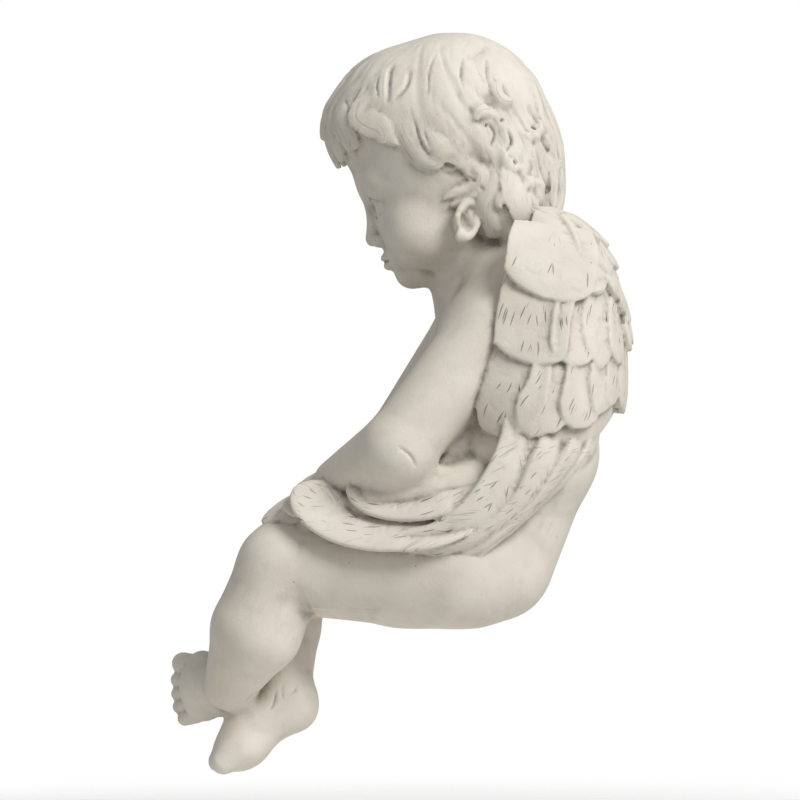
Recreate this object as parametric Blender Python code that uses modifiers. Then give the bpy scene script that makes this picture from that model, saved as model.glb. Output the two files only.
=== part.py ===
"""Sitting angel statue, one cast figure that sits on a ledge with its legs hanging over the edge.

Metres, +Z up. The figure faces -Y and its left side is +X. The origin is on the flat seat, where the
figure rests on its ledge, so the lower legs hang below zero.
"""

import math

import bmesh
import bpy
import numpy as np
from mathutils import Matrix, Vector

# Driving sizes, in metres.
FIGURE_HEIGHT = 0.400  # from the lowest toe to the crown of the hair
LEDGE_REACH = 0.058  # how far before and behind the origin the underside is kept flat or higher

# The pose and the carving are shares of the height: one share is 1/400 of it.
SHARE = FIGURE_HEIGHT / 400

# How finely the clay is cut, in shares, and how many faces the solid keeps.
SKIN_VOXEL = 2.6
CARVING_VOXEL = 1.7
KEPT_TRIANGLES = 9300

LEFT, RIGHT = 1, -1


# Forms: the rounded masses that the figure is built up from.


class Ball:
    """An ellipsoid, placed by a matrix."""

    def __init__(self, centre, radii, blend=4.0, place=None):
        self.place = (place or Matrix()) @ Matrix.Translation(centre)
        self.radii = np.array([radii] * 3 if isinstance(radii, (int, float)) else radii, float)
        self.blend = blend
        self.middle = np.array(self.place.translation)
        self.reach = self.radii.max()

    def distance(self, points):
        turn = np.array(self.place.to_3x3())
        local = (points - np.array(self.place.translation)) @ turn
        near = np.linalg.norm(local / self.radii, axis=1)
        slope = np.linalg.norm(local / self.radii**2, axis=1)
        return near * (near - 1) / np.maximum(slope, 1e-9)

    def solid(self):
        mesh = bmesh.new()
        scale = Matrix.Diagonal((*self.radii, 1))
        bmesh.ops.create_uvsphere(mesh, u_segments=20, v_segments=12, radius=1, matrix=self.place @ scale)
        return mesh


class Limb:
    """A tapered round limb with a ball at each end."""

    def __init__(self, start, end, start_radius, end_radius, blend=4.0, place=None):
        place = place or Matrix()
        self.start, self.end = (np.array(place @ Vector(p)) for p in (start, end))
        self.start_radius, self.end_radius = float(start_radius), float(end_radius)
        self.blend = blend
        self.middle = (self.start + self.end) / 2
        self.reach = np.linalg.norm(self.end - self.start) / 2 + max(start_radius, end_radius)

    def distance(self, points):
        axis = self.end - self.start
        taper = self.start_radius - self.end_radius
        length2 = axis @ axis
        slant2 = max(length2 - taper * taper, 1e-9)
        offset = points - self.start
        along = offset @ axis
        beyond = along - length2
        across2 = ((offset * length2 - np.outer(along, axis)) ** 2).sum(1)
        limit = np.sign(taper) * taper * taper * across2
        side = (np.sqrt(across2 * slant2 / length2) + along * taper) / length2 - self.start_radius
        near_start = np.sqrt(across2 + along * along * length2) / length2 - self.start_radius
        near_end = np.sqrt(across2 + beyond * beyond * length2) / length2 - self.end_radius
        result = np.where(np.sign(along) * slant2 * along * along * length2 < limit, near_start, side)
        return np.where(np.sign(beyond) * slant2 * beyond * beyond * length2 > limit, near_end, result)

    def solid(self):
        mesh = bmesh.new()
        for centre, radius in ((self.start, self.start_radius), (self.end, self.end_radius)):
            at = Matrix.Translation(centre)
            bmesh.ops.create_uvsphere(mesh, u_segments=16, v_segments=10, radius=radius, matrix=at)
        hull = bmesh.ops.convex_hull(mesh, input=mesh.verts[:], use_existing_faces=False)
        inside = set(hull["geom_interior"]) | set(hull["geom_unused"])
        bmesh.ops.delete(mesh, geom=[v for v in inside if isinstance(v, bmesh.types.BMVert)], context="VERTS")
        return mesh


def blended(first, second, radius):
    """The distance to two forms run together with a soft joint of about this radius."""
    share = np.clip(0.5 + 0.5 * (second - first) / radius, 0, 1)
    return second + (first - second) * share - radius * share * (1 - share)


FAR = 60.0  # further than any point that is measured lies from the surface
NEAR = 8.0  # a form only touches what lies this close to it


def clay_distance(points, forms, hollows):
    result = np.full(len(points), FAR)
    for form in forms:
        near = np.linalg.norm(points - form.middle, axis=1) < form.reach + form.blend + NEAR
        result[near] = blended(result[near], form.distance(points[near]), form.blend)
    for hollow in hollows:
        near = np.linalg.norm(points - hollow.middle, axis=1) < hollow.reach + hollow.blend + NEAR
        result[near] = -blended(-result[near], hollow.distance(points[near]), hollow.blend)
    return result


def clay_slope(points, forms, hollows, step=0.05):
    """Which way, and how steeply, the distance grows at each point."""
    sides = [
        clay_distance(points + step * axis, forms, hollows) - clay_distance(points - step * axis, forms, hollows)
        for axis in np.eye(3)
    ]
    return np.stack(sides, axis=1) / (2 * step)


def drawn_to_clay(points, forms, hollows, steps=3):
    """Moves each point straight onto the blended surface."""
    for _ in range(steps):
        slope = clay_slope(points, forms, hollows)
        steep = np.maximum((slope**2).sum(1), 0.2)
        points = points - slope * (clay_distance(points, forms, hollows) / steep)[:, None]
    return points


# Paths and blades: a feather or a lock of hair is a blade swept along a path.


def smooth_path(knots, count):
    """Evenly numbered points on a smooth curve through the knots."""
    knots = np.array(knots, float)
    padded = np.vstack([2 * knots[0] - knots[1], knots, 2 * knots[-1] - knots[-2]])
    spans = len(knots) - 1
    at = np.linspace(0, spans, count)
    span = np.minimum(at.astype(int), spans - 1)
    t = (at - span)[:, None]
    before, first, second, after = (padded[span + i] for i in range(4))
    return 0.5 * (
        2 * first
        + (second - before) * t
        + (2 * before - 5 * first + 4 * second - after) * t**2
        + (3 * first - before - 3 * second + after) * t**3
    )


def unit(vectors):
    return vectors / np.maximum(np.linalg.norm(vectors, axis=-1, keepdims=True), 1e-9)


def blade_outline(along, root, shoulder):
    """Half width, from 0 to 1, of a blade that swells from its root and ends in a round tip."""
    swell = root + (1 - root) * np.sin(np.clip(along / 0.35, 0, 1) * math.pi / 2)
    past = np.clip((along - shoulder) / (1 - shoulder), 0, 1)
    return swell * np.sqrt(np.maximum(1 - past**2.4, 0.0))


def add_blade(
    mesh, centres, normals, half_width, thickness, root, shoulder, tilt=0.0, flat=0.6, sides=10, narrowing=1.0
):
    """A closed blade: rings with a crowned upper side and a lower underside, along the path.

    It leans over by the tilt, in degrees, so that one edge stands proud of its neighbour.
    """
    along = np.linspace(0, 1, len(centres))
    tangents = unit(np.gradient(centres, axis=0))
    across = unit(np.cross(tangents, normals))
    normals = unit(np.cross(across, tangents))
    lean = math.radians(tilt)
    across, normals = (
        across * math.cos(lean) + normals * math.sin(lean),
        normals * math.cos(lean) - across * math.sin(lean),
    )
    wide = np.maximum(blade_outline(along, root, shoulder) * narrowing, 0.04) * half_width
    tall = thickness * (0.6 + 0.4 * wide / half_width)
    turn = np.arange(sides) * 2 * math.pi / sides
    reach = np.cos(turn)
    rise = np.abs(np.sin(turn)) ** flat * np.sign(np.sin(turn))
    rise = np.where(rise > 0, rise, 0.6 * rise)
    rings = []
    for i, centre in enumerate(centres):
        spots = centre + np.outer(reach * wide[i], across[i]) + np.outer(rise * tall[i], normals[i])
        rings.append([mesh.verts.new(spot) for spot in spots])
    for ring, following in zip(rings, rings[1:]):
        for i in range(sides):
            j = (i + 1) % sides
            mesh.faces.new((ring[i], ring[j], following[j], following[i]))
    mesh.faces.new(rings[0][::-1])
    mesh.faces.new(rings[-1])


# The trunk, arms and legs, in shares of the height.


def both(make):
    """The same forms on the left and the right."""
    return [form for side in (LEFT, RIGHT) for form in make(side)]


def trunk():
    def flank(side):
        return [
            Ball((side * 28, 9, 37.5), (37, 41, 38), 6),
            Ball((side * 24, 33, 26), (26, 17, 17.5), 6),
            Limb((side * 22, 27, 39), (side * 22, 42, 92), 32, 37, 8),
            Limb((side * 34, 20, 118), (side * 36, 8, 73), 19, 20, 8),
            Ball((side * 30, 22, 158), (27, 26, 25), 9),
            Limb((side * 42, 34, 160), (side * 38, 49, 206), 22, 15, 8),
            Limb((side * 20, 28, 196), (side * 42, 28, 168), 15, 18, 10),
        ]

    return [
        Ball((0, 4, 38), (46, 42, 41.5)),
        *both(flank),
        Ball((0, 0, 74), (42, 34, 34), 10),
        Ball((0, 20, 128), (45, 34, 44), 10),
        Ball((0, 46, 150), (58, 42, 68), 10),
        Limb((0, 20, 176), (0, 12, 214), 26, 25, 10),
    ]


def arm(side):
    shoulder = (side * 46, 24 if side == LEFT else 16, 161)
    elbow = (side * 57, -25, 97)
    wrist = (side * 25, -58, 79)
    return [
        Limb(shoulder, elbow, 21, 19.5, 10),
        Limb(elbow, wrist, 20.5, 12.5, 3),
    ]


def hand(side):
    """A small plump hand. The left one lies over the right one in the lap."""
    palm = Vector((side * 12, -63, 77 if side == LEFT else 68))
    forms = [Ball(palm, (13.5, 12.5, 8), 4)]
    for finger in range(4):
        knuckle = palm + Vector((-side * 9, -8.6 + 5.6 * finger, 0.5))
        reach = 14 - 1.5 * abs(finger - 1)
        forms.append(Limb(knuckle, knuckle + Vector((-side * reach, -0.5, -4.5)), 4.4, 3.8, 0.7))
    thumb = palm + Vector((side * 2, -9, 0))
    forms.append(Limb(thumb, thumb + Vector((-side * 12, -5, -3)), 4.8, 4.0, 1.0))
    return forms


def leg(side):
    hip = (side * 32, 4, 34)
    knee = (side * 28, -87, 33)
    if side == LEFT:
        calf, ankle = (26, -101, 0), (13, -116, -31)
    else:
        calf, ankle = (-20, -92, 0), (0, -86, -33)
    return [
        Limb(hip, knee, 35.5, 24, 4),
        Ball((side * 30, -18, 31.5), (29, 32, 32), 5),
        Limb(knee, calf, 23.5, 24.5, 3),
        Limb(calf, ankle, 24, 13.5, 3),
    ]


def foot_place(ankle, toes_towards, big_toe_towards, side):
    """A foot's own axes: +X to the big toe's side, +Y from heel to toes, +Z out of the instep."""
    length = Vector(toes_towards).normalized()
    instep = Vector(big_toe_towards).cross(length).normalized() * side
    across = length.cross(instep) * side
    turn = Matrix((across, length, instep)).transposed().to_4x4()
    return Matrix.Translation(ankle) @ turn


def foot(side):
    if side == LEFT:
        place = foot_place((10, -117, -33), (-0.60, -0.80, -0.02), (0.0, 0.02, 1), side)
        heel, arch, instep, sole, big_toe, parted = 9.5, 11, 11.5, 11.5, 6.8, 0.8
    else:
        place = foot_place((1, -86, -33), (0.02, -0.90, -0.43), (1, 0, -0.1), side)
        heel, arch, instep, sole, big_toe, parted = 11.5, 13, 14, 13, 7.0, 3.0
    forms = [
        Ball((0, 0.5, -13), (heel, heel, heel), 5, place),
        Limb((0, -1, -7), (1, 28, -12), arch, instep, 6, place),
        Limb((-7, 5, -13), (-8, 30, -17), heel - 1, heel - 1, 6, place),
        Ball((1, 35, -18), (19, 16, sole), 6, place),
    ]
    toes = ((12.6, 49.5, big_toe), (3.6, 52, 4.9), (-4, 50.5, 4.7), (-11.2, 47.5, 4.6), (-17.4, 43.5, 4.5))
    for across, length, radius in toes:
        start = (across * 0.85, length - 10, -17)
        forms.append(Limb(start, (across, length, -20), radius, radius, parted, place))
    return forms


# The head, in its own axes: +Z through the crown, -Y out of the face.

HEAD_NOD = 20.0  # degrees forward
HEAD_MIDDLE = (0, 2.7, 250.5)
HEAD = Matrix.Translation(HEAD_MIDDLE) @ Matrix.Rotation(math.radians(HEAD_NOD), 4, "X")


def face():
    def half(side):
        return [
            Ball((side * 22, -29, -29), (18.5, 18, 18), 8, HEAD),
            Ball((side * 14, -41, 4), (12, 6.5, 6.5), 9, HEAD),
            Ball((side * 16.5, -38.6, -11), (9.6, 8.8, 8.2), 2.0, HEAD),
            Ball((side * 4.4, -50.2, -26.6), (3.6, 3.8, 3.2), 2.0, HEAD),
            Limb((side * 1.6, -51.0, -35.6), (side * 8.6, -46.6, -37.4), 2.3, 1.1, 1.0, HEAD),
            Limb((side * 1.4, -49.9, -40.4), (side * 7.2, -47.2, -38.9), 2.8, 1.3, 1.2, HEAD),
        ]

    return [
        Ball((0, 4, 4), (47, 56, 53), 4, HEAD),
        Ball((0, -10, -24), (40, 39, 33), 9, HEAD),
        Ball((0, -38, -48.5), (11.5, 10.5, 9), 7, HEAD),
        Ball((0, -42, -37), (13, 8.5, 8), 6, HEAD),
        Limb((0, -46, -9), (0, -52.5, -24), 3.6, 4.6, 5, HEAD),
        *both(half),
    ]


def face_hollows():
    def half(side):
        return [
            Ball((side * 16.5, -55, -9), (10, 7, 7), 6, HEAD),
            Ball((side * 2.5, -53.0, -29.6), (1.5, 2.0, 1.2), 1.2, HEAD),
            Ball((side * 47.6, -3.6, -34), (3.2, 3.0, 5.0), 2.0, HEAD),
        ]

    return [*both(half), Ball((0, -53.4, -32.4), (1.8, 3.4, 3.6), 2.0, HEAD)]


EAR_LEAN = 0.62  # how far the top leans back, in radians


def ear(side):
    at = HEAD @ Matrix.Translation((side * 42, -4, -33))
    place = at @ Matrix.Rotation(side * 0.35, 4, "Z") @ Matrix.Rotation(-EAR_LEAN, 4, "X")
    forms = [Ball((-side * 1, 0, 0), (4.6, 5.6, 9), 3, place)]
    for i in range(13):
        turn = math.radians(-72 + 21 * i)
        spot = (side * 3.9, 5.4 * math.cos(turn), 10.2 * math.sin(turn))
        forms.append(Ball(spot, 2.4, 1.6, place))
    forms.append(Limb((side * 3.2, 0.6, 5), (side * 3.4, 2.4, -1), 1.4, 1.4, 1.0, place))
    forms.append(Limb((side * 3.4, 2.4, -1), (side * 2.8, 0.4, -6), 1.4, 1.4, 1.0, place))
    forms.append(Ball((side * 2.4, -0.6, -9.4), (2.6, 3.4, 3.8), 2, place))
    forms.append(Ball((side * 2.8, -4.8, -2.4), (2.0, 1.8, 2.6), 1.5, place))
    return forms


def hair_mass():
    def half(side):
        return [Ball((side * 35, 20, -30), (15, 18, 19), 8, HEAD)]

    return [
        Ball((0, 7, 18), (52.5, 52, 48), 3, HEAD),
        Ball((0, -13, 26), (45, 36, 40), 6, HEAD),
        Ball((0, -36, 38), (33, 20, 17), 10, HEAD),
        Ball((0, 28, -6), (46, 29.5, 34), 6, HEAD),
        *both(half),
        Ball((0, 31, -27), (34, 20, 24), 8, HEAD),
    ]


def skin_forms():
    forms = [*trunk(), *both(leg), *face(), *hair_mass(), *both(wing_root)]
    for side in (LEFT, RIGHT):
        forms += [*arm(side), *hand(side), *foot(side), *ear(side)]
    return forms


# Wings: a shell round the back, then feathers in rows on it.

WING_MIDDLE, WING_HALF_HEIGHT = 150.0, 78.0
WING_BACK, WING_BACK_REACH, WING_SIDE_REACH = 50.0, 46.0, 64.0
SHELL_THICKNESS = 9.0
SHELL_LOW, SPINE_LOW, SHELL_HIGH = 90.0, 128.0, 226.0


# How far round the front edge of the shell comes at each height, in degrees from straight sideways.
EDGE_HEIGHTS = (95, 109, 127, 149, 165, 189, 226)
EDGE_TURNS = (-60, -53, -35, -26, -23, -18, -12)
FRONT_FLATNESS = 0.7  # below 1, the front quarter of the shell is flatter than a round


def wing_point(side, across, height):
    """A point of the shell: across is 0 at the front edge and 1 at the spine, height is Z."""
    level = np.clip((height - WING_MIDDLE) / WING_HALF_HEIGHT, -0.995, 0.995)
    back = WING_BACK_REACH * np.sqrt(1 - level**2)
    out = 8 + WING_SIDE_REACH * (1 - np.abs(level) ** 3.5) ** (1 / 3.5)
    raised = np.clip((height - 165) / 60, 0, 1)
    parted = np.clip((165 - height) / 60, 0, 1)
    axis = 6 + 26 * raised**2 * (3 - 2 * raised) + 14 * parted
    front_turn = np.radians(np.interp(height, EDGE_HEIGHTS, EDGE_TURNS))
    back_turn = np.radians(90 + 50 * raised)
    turn = front_turn + (back_turn - front_turn) * across
    sideways = np.where(turn < 0, np.abs(np.cos(turn)) ** FRONT_FLATNESS, np.cos(turn))
    return np.stack(
        [side * (axis + (out - axis) * sideways), WING_BACK + back * np.sin(turn), height + 0 * turn], axis=-1
    )


def wing_normal(side, across, height):
    step = 0.02
    over = wing_point(side, across + step, height) - wing_point(side, across - step, height)
    up = wing_point(side, across, height + 1) - wing_point(side, across, height - 1)
    return unit(np.cross(over, up)) * side


def add_shell(mesh, side, columns=26, rows=26):
    outer, inner = [], []
    across = np.linspace(0, 1, columns)
    foot = SHELL_LOW + (SPINE_LOW - SHELL_LOW) * np.clip((across - 0.55) / 0.45, 0, 1) ** 1.5
    for rise in np.linspace(0, 1, rows):
        level = foot + (SHELL_HIGH - foot) * rise
        points = wing_point(side, across, level)
        normals = wing_normal(side, across, level)
        outer.append([mesh.verts.new(p) for p in points])
        inner.append([mesh.verts.new(p) for p in points - SHELL_THICKNESS * normals])
    for r in range(rows - 1):
        for c in range(columns - 1):
            mesh.faces.new((outer[r][c], outer[r][c + 1], outer[r + 1][c + 1], outer[r + 1][c]))
            mesh.faces.new((inner[r][c], inner[r + 1][c], inner[r + 1][c + 1], inner[r][c + 1]))
        for c, (first, second) in ((0, (r + 1, r)), (columns - 1, (r, r + 1))):
            mesh.faces.new((outer[first][c], outer[second][c], inner[second][c], inner[first][c]))
    for r, flip in ((0, False), (rows - 1, True)):
        for c in range(columns - 1):
            face = [outer[r][c], inner[r][c], inner[r][c + 1], outer[r][c + 1]]
            mesh.faces.new(face[::-1] if flip else face)


# Each row of feathers on the shell: where the tips end at the front edge and at the spine, how long the
# feathers are, and how far round the row begins. The two top rows only cover the back of the wing.
COVERT_ROWS = (
    (101, 121, 52, 0.0),
    (137, 148, 52, 0.0),
    (184, 166, 40, 0.0),
    (196, 186, 34, 0.42),
    (212, 207, 28, 0.52),
)
COVERTS_IN_ROW = 7
FRONT_WIDTH, SPINE_WIDTH = 27.0, 12.0  # shares of the way round, compared with one another
FRONT_LIFT, SPINE_LIFT = 3.0, 6.2  # how far the tips stand off
COVERT_THICKNESS, COVERT_ROOT_SUNK = 2.2, 1.2
TIP_WANDER = 4.5  # how far a tip may end above or below its row
ROUND_THE_WING = 118.0
OVERHANG = 0.02  # how much of the way round a feather may stand over the front edge
WING_TOP = 222.0


def add_coverts(mesh, side):
    widths = np.linspace(FRONT_WIDTH, SPINE_WIDTH, COVERTS_IN_ROW)
    ends = np.cumsum(widths) / widths.sum()
    for row, (front_tip, spine_tip, length, begins) in enumerate(COVERT_ROWS):
        for i, end in enumerate(ends):
            wide = widths[i] / widths.sum()
            middle = min(end - wide / 2 + 0.4 * wide * math.sin(2.4 * row + 0.9 * i), 0.97)
            if middle < begins:
                continue
            half = (0.62 + 0.06 * math.sin(4.3 * i + row)) * wide * ROUND_THE_WING
            middle = max(middle, half / ROUND_THE_WING - OVERHANG)
            tip = front_tip + (spine_tip - front_tip) * middle + TIP_WANDER * math.sin(5.1 * i + 2.3 * row)
            along = np.linspace(0, 1, 12)
            top = min(tip + length, WING_TOP)
            heights = top + (tip - top) * along
            across = middle + 0.05 * (along - 0.5) * math.cos(3.7 * i + row)
            centres = wing_point(side, across, heights)
            normals = wing_normal(side, across, heights)
            lift = FRONT_LIFT + (SPINE_LIFT - FRONT_LIFT) * middle
            centres = centres + normals * (lift * along**1.4 - COVERT_ROOT_SUNK)[:, None]
            tip_shape = 0.62 + 0.1 * math.sin(3.1 * i + 1.9 * row)
            add_blade(mesh, centres, normals, half, COVERT_THICKNESS, 0.8, tip_shape, side * (2 + 2 * middle))


# The long feathers sweep from the back round the hip. Each line is the edge between two of them, from
# the ridge that stands highest to the edge that lies on the hip, as (x, y, z) for the left wing.
SWEPT_EDGES = (
    ((69, 32, 122), (70, 29, 101), (71.5, 22, 84), (72, 12, 67), (71, 0, 57), (67, -18, 50), (57, -54, 53)),
    ((69, 54, 122), (70, 50, 103), (71.5, 42, 85), (71.5, 34, 70), (71, 19, 57), (68, -3, 46), (57.5, -54, 49.5)),
    ((63, 68, 122), (63.5, 65, 100), (65.5, 58, 87), (67.5, 45, 70), (68, 27, 54), (65, 4, 43), (58, -46, 44.5)),
    ((53, 80, 122), (54, 75, 102), (57, 68, 91), (62, 52, 72), (65.5, 31, 52.5), (64, 8, 41), (59, -32, 40.5)),
    ((38, 86, 118), (41, 82, 97), (48, 69, 84), (56, 52, 70), (62.5, 30, 51), (63, 8, 39.5), (58.5, -30, 39)),
)

# Feathers that lie over the thigh: the quill as (x, y, z) and the half width.
LAP_FEATHERS = (
    (((67, 34, 94), (64, 12, 79), (59, -12, 71), (53, -34, 73), (47, -52, 80)), 13),
    (((34, -14, 66), (36, -42, 64), (32, -72, 66), (25, -98, 57)), 12),
    (((46, 8, 66), (47, -26, 64), (43, -56, 66), (36, -87, 67)), 14),
    (((67, 28, 76), (66, 0, 63), (60, -26, 58), (54, -47, 61), (47, -65, 70), (41, -81, 77)), 18.5),
)
LAP_NORMAL = np.array((0.72, -0.12, 0.68))
SWEPT_THICKNESS, SWEPT_TILT, SWEPT_ROOT_SUNK = 3.2, 9, 5
LAP_THICKNESS, LAP_TILT = 3.4, -5
SWEPT_RINGS, LAP_RINGS = 22, 18  # how many cross sections a feather is built from


def add_swept_feathers(mesh, side):
    flip = np.array((side, 1, 1))
    edges = [smooth_path(edge, SWEPT_RINGS) for edge in SWEPT_EDGES]
    sunk = SWEPT_ROOT_SUNK * np.clip(1 - np.linspace(0, 1, SWEPT_RINGS) / 0.3, 0, 1)
    for i in range(len(edges) - 1, 0, -1):
        upper, lower = edges[i - 1], edges[i]
        centres = (upper + lower) / 2
        across = lower - upper
        tangents = np.gradient(centres, axis=0)
        normals = unit(np.cross(tangents, across))
        normals *= np.sign(normals[:, :1] + 1e-6)
        centres = centres - normals * sunk[:, None]
        apart = np.linalg.norm(across, axis=1)
        half, narrowing = 0.54 * apart.max(), apart / apart.max()
        lean = side * SWEPT_TILT
        centres, normals = centres * flip, normals * flip
        add_blade(mesh, centres, normals, half, SWEPT_THICKNESS, 1, 0.92, lean, narrowing=narrowing)
    for quill, wide in LAP_FEATHERS:
        centres = smooth_path(quill, LAP_RINGS) * flip
        normals = np.tile(LAP_NORMAL * flip, (LAP_RINGS, 1))
        add_blade(mesh, centres, normals, wide, LAP_THICKNESS, 0.7, 0.62, side * LAP_TILT)


def wing_root(side):
    """The mass under the swept feathers, down the hip and over the thigh."""
    return [
        Ball((side * 24, 43, 96), (44, 39, 36), 8),
        Limb((side * 50, 22, 66), (side * 51, -14, 54), 16, 13, 6),
        Limb((side * 49, -10, 56), (side * 37, -68, 63), 14, 11, 5),
        Limb((side * 50, 14, 76), (side * 47, -38, 68), 14, 11, 5),
    ]


# Hair: locks that run from the crown down to the hairline, one ring over another.

HAIR_CENTRE = np.array((0, 4.0, 8.0))
HAIR_RADII = np.array((52.5, 57.5, 57.5))
CROWN = np.array((0.0, 0.42, 0.91))  # from the middle of the head to the whorl
# The hairline's height round the head, from the brow past the ear to the nape.
HAIRLINE_TURNS = (0, 30, 55, 75, 90, 105, 125, 180)
HAIRLINE_HEIGHTS = (20, 22, 21, 6, -18, -34, -46, -48)
# Each ring: how many locks, where they start and end between the crown and the hairline, half width
# and how far the tips stand off.
LOCK_RINGS = ((21, 0.45, 1.0, 8.5, 3.6), (17, 0.24, 0.76, 8.5, 4.0), (11, 0.03, 0.5, 9.0, 3.4))


def hairline_ray(turn):
    """From the middle of the head to the hairline: turn is in degrees from the brow."""
    away = abs((turn + 180) % 360 - 180)
    height = (np.interp(away, HAIRLINE_TURNS, HAIRLINE_HEIGHTS) - HAIR_CENTRE[2]) / HAIR_RADII[2]
    wide = math.sqrt(1 - min(height**2, 0.98))
    return np.array((math.sin(math.radians(turn)) * wide, -math.cos(math.radians(turn)) * wide, height))


def add_locks(mesh, forms):
    turned = np.array(HEAD.to_3x3())
    along = np.linspace(0, 1, 14)
    for ring, (count, start, end, wide, lift) in enumerate(LOCK_RINGS):
        for i in range(count):
            turn = 360 * (i + 0.5 * (ring % 2)) / count + 8 * math.sin(2.1 * i + ring)
            share = start + (end + 0.07 * math.sin(3.3 * i + 1.7 * ring) - start) * along
            swing = (1 if (i + ring) % 2 else -1) * (0.10 + 0.05 * math.sin(1.9 * i))
            ray = unit(CROWN + np.outer(share, hairline_ray(turn) - CROWN))
            aside = unit(np.cross(ray, hairline_ray(turn) - CROWN))
            ray = unit(ray + aside * (swing * np.sin(along * 4.6) * along)[:, None])
            centres = (HAIR_CENTRE + ray * HAIR_RADII) @ turned.T + np.array(HEAD.translation)
            centres = drawn_to_clay(centres, forms, [])
            normals = unit(clay_slope(centres, forms, []))
            centres = centres + normals * (lift * along**1.5 - 1.6)[:, None]
            add_blade(mesh, centres, normals, wide, 3.8, 0.45, 0.5, 12 * (-1) ** i, 0.8, 8)


# Assembly.


def clear_scene():
    for obj in list(bpy.data.objects):
        bpy.data.objects.remove(obj)


def object_from(name, mesh, collection):
    data = bpy.data.meshes.new(name)
    mesh.to_mesh(data)
    mesh.free()
    obj = bpy.data.objects.new(name, data)
    collection.objects.link(obj)
    return obj


def join(mesh, piece):
    """Adds a loose piece to a mesh."""
    data = bpy.data.meshes.new("piece")
    piece.to_mesh(data)
    piece.free()
    mesh.from_mesh(data)
    bpy.data.meshes.remove(data)


def evaluated_mesh(obj):
    bpy.context.view_layer.update()
    return bpy.data.meshes.new_from_object(obj.evaluated_get(bpy.context.evaluated_depsgraph_get()))


def skin_mesh(collection, forms):
    """The blended body, head and hair mass as one closed mesh, in shares."""
    lumps = bmesh.new()
    for form in forms:
        join(lumps, form.solid())
    rough = object_from("rough_clay", lumps, collection)
    remesh = rough.modifiers.new("one_skin", "REMESH")
    remesh.mode = "VOXEL"
    remesh.voxel_size = SKIN_VOXEL
    mesh = evaluated_mesh(rough)
    bpy.data.objects.remove(rough)
    points = np.empty(len(mesh.vertices) * 3, np.float32)
    mesh.vertices.foreach_get("co", points)
    points = drawn_to_clay(points.reshape(-1, 3).astype(float), forms, face_hollows())
    mesh.vertices.foreach_set("co", points.astype(np.float32).ravel())
    return mesh


def seat_cutter(collection):
    """A block whose top face is the plane that the figure sits on."""
    cutter = bmesh.new()
    wide, deep = FIGURE_HEIGHT / 2, FIGURE_HEIGHT / 10
    under = Matrix.Translation((0, 0, -deep / 2))
    bmesh.ops.create_cube(cutter, size=1, matrix=under @ Matrix.Diagonal((wide, 2 * LEDGE_REACH, deep, 1)))
    obj = object_from("seat_plane", cutter, collection)
    obj.hide_render = True
    obj.display_type = "WIRE"
    return obj


def cast_stone():
    material = bpy.data.materials.new("cast_stone")
    material.use_nodes = True
    shader = material.node_tree.nodes["Principled BSDF"]
    shader.inputs["Base Color"].default_value = (0.58, 0.55, 0.48, 1)
    shader.inputs["Roughness"].default_value = 0.75
    shader.inputs["Metallic"].default_value = 0.0
    return material


def main():
    clear_scene()
    figure = bpy.data.collections.new("sitting_angel")
    helpers = bpy.data.collections.new("cutters")
    for collection in (figure, helpers):
        bpy.context.scene.collection.children.link(collection)

    clay = bmesh.new()
    forms = skin_forms()
    skin = skin_mesh(helpers, forms)
    clay.from_mesh(skin)
    bpy.data.meshes.remove(skin)
    for side in (LEFT, RIGHT):
        add_shell(clay, side)
        add_coverts(clay, side)
        add_swept_feathers(clay, side)
    add_locks(clay, [*face(), *hair_mass()])
    bmesh.ops.recalc_face_normals(clay, faces=clay.faces)
    bmesh.ops.transform(clay, matrix=Matrix.Scale(SHARE, 4), verts=clay.verts)

    rough = object_from("rough_casting", clay, helpers)
    remesh = rough.modifiers.new("one_casting", "REMESH")
    remesh.mode = "VOXEL"
    remesh.voxel_size = CARVING_VOXEL * SHARE
    soften = rough.modifiers.new("worn_edges", "SMOOTH")
    soften.factor = 0.5
    soften.iterations = 1
    angel = bpy.data.objects.new("angel_statue", evaluated_mesh(rough))
    bpy.data.objects.remove(rough)
    figure.objects.link(angel)
    angel.data.materials.append(cast_stone())
    fewer = angel.modifiers.new("fewer_faces", "DECIMATE")
    fewer.ratio = KEPT_TRIANGLES / (2 * len(angel.data.polygons))
    fewer.use_collapse_triangulate = True
    flat = angel.modifiers.new("flat_seat", "BOOLEAN")
    flat.operation = "DIFFERENCE"
    flat.solver = "EXACT"
    flat.object = seat_cutter(helpers)


main()
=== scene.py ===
# A child angel cast in one piece in pale stone. It sits on the edge of a shelf, leaning forward, with its
# wings folded round its back and hips. +Z is up, it faces -Y, and the origin is on its flat seat.

import math

import bmesh
import bpy
import numpy as np
from mathutils import Matrix, Vector


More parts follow.
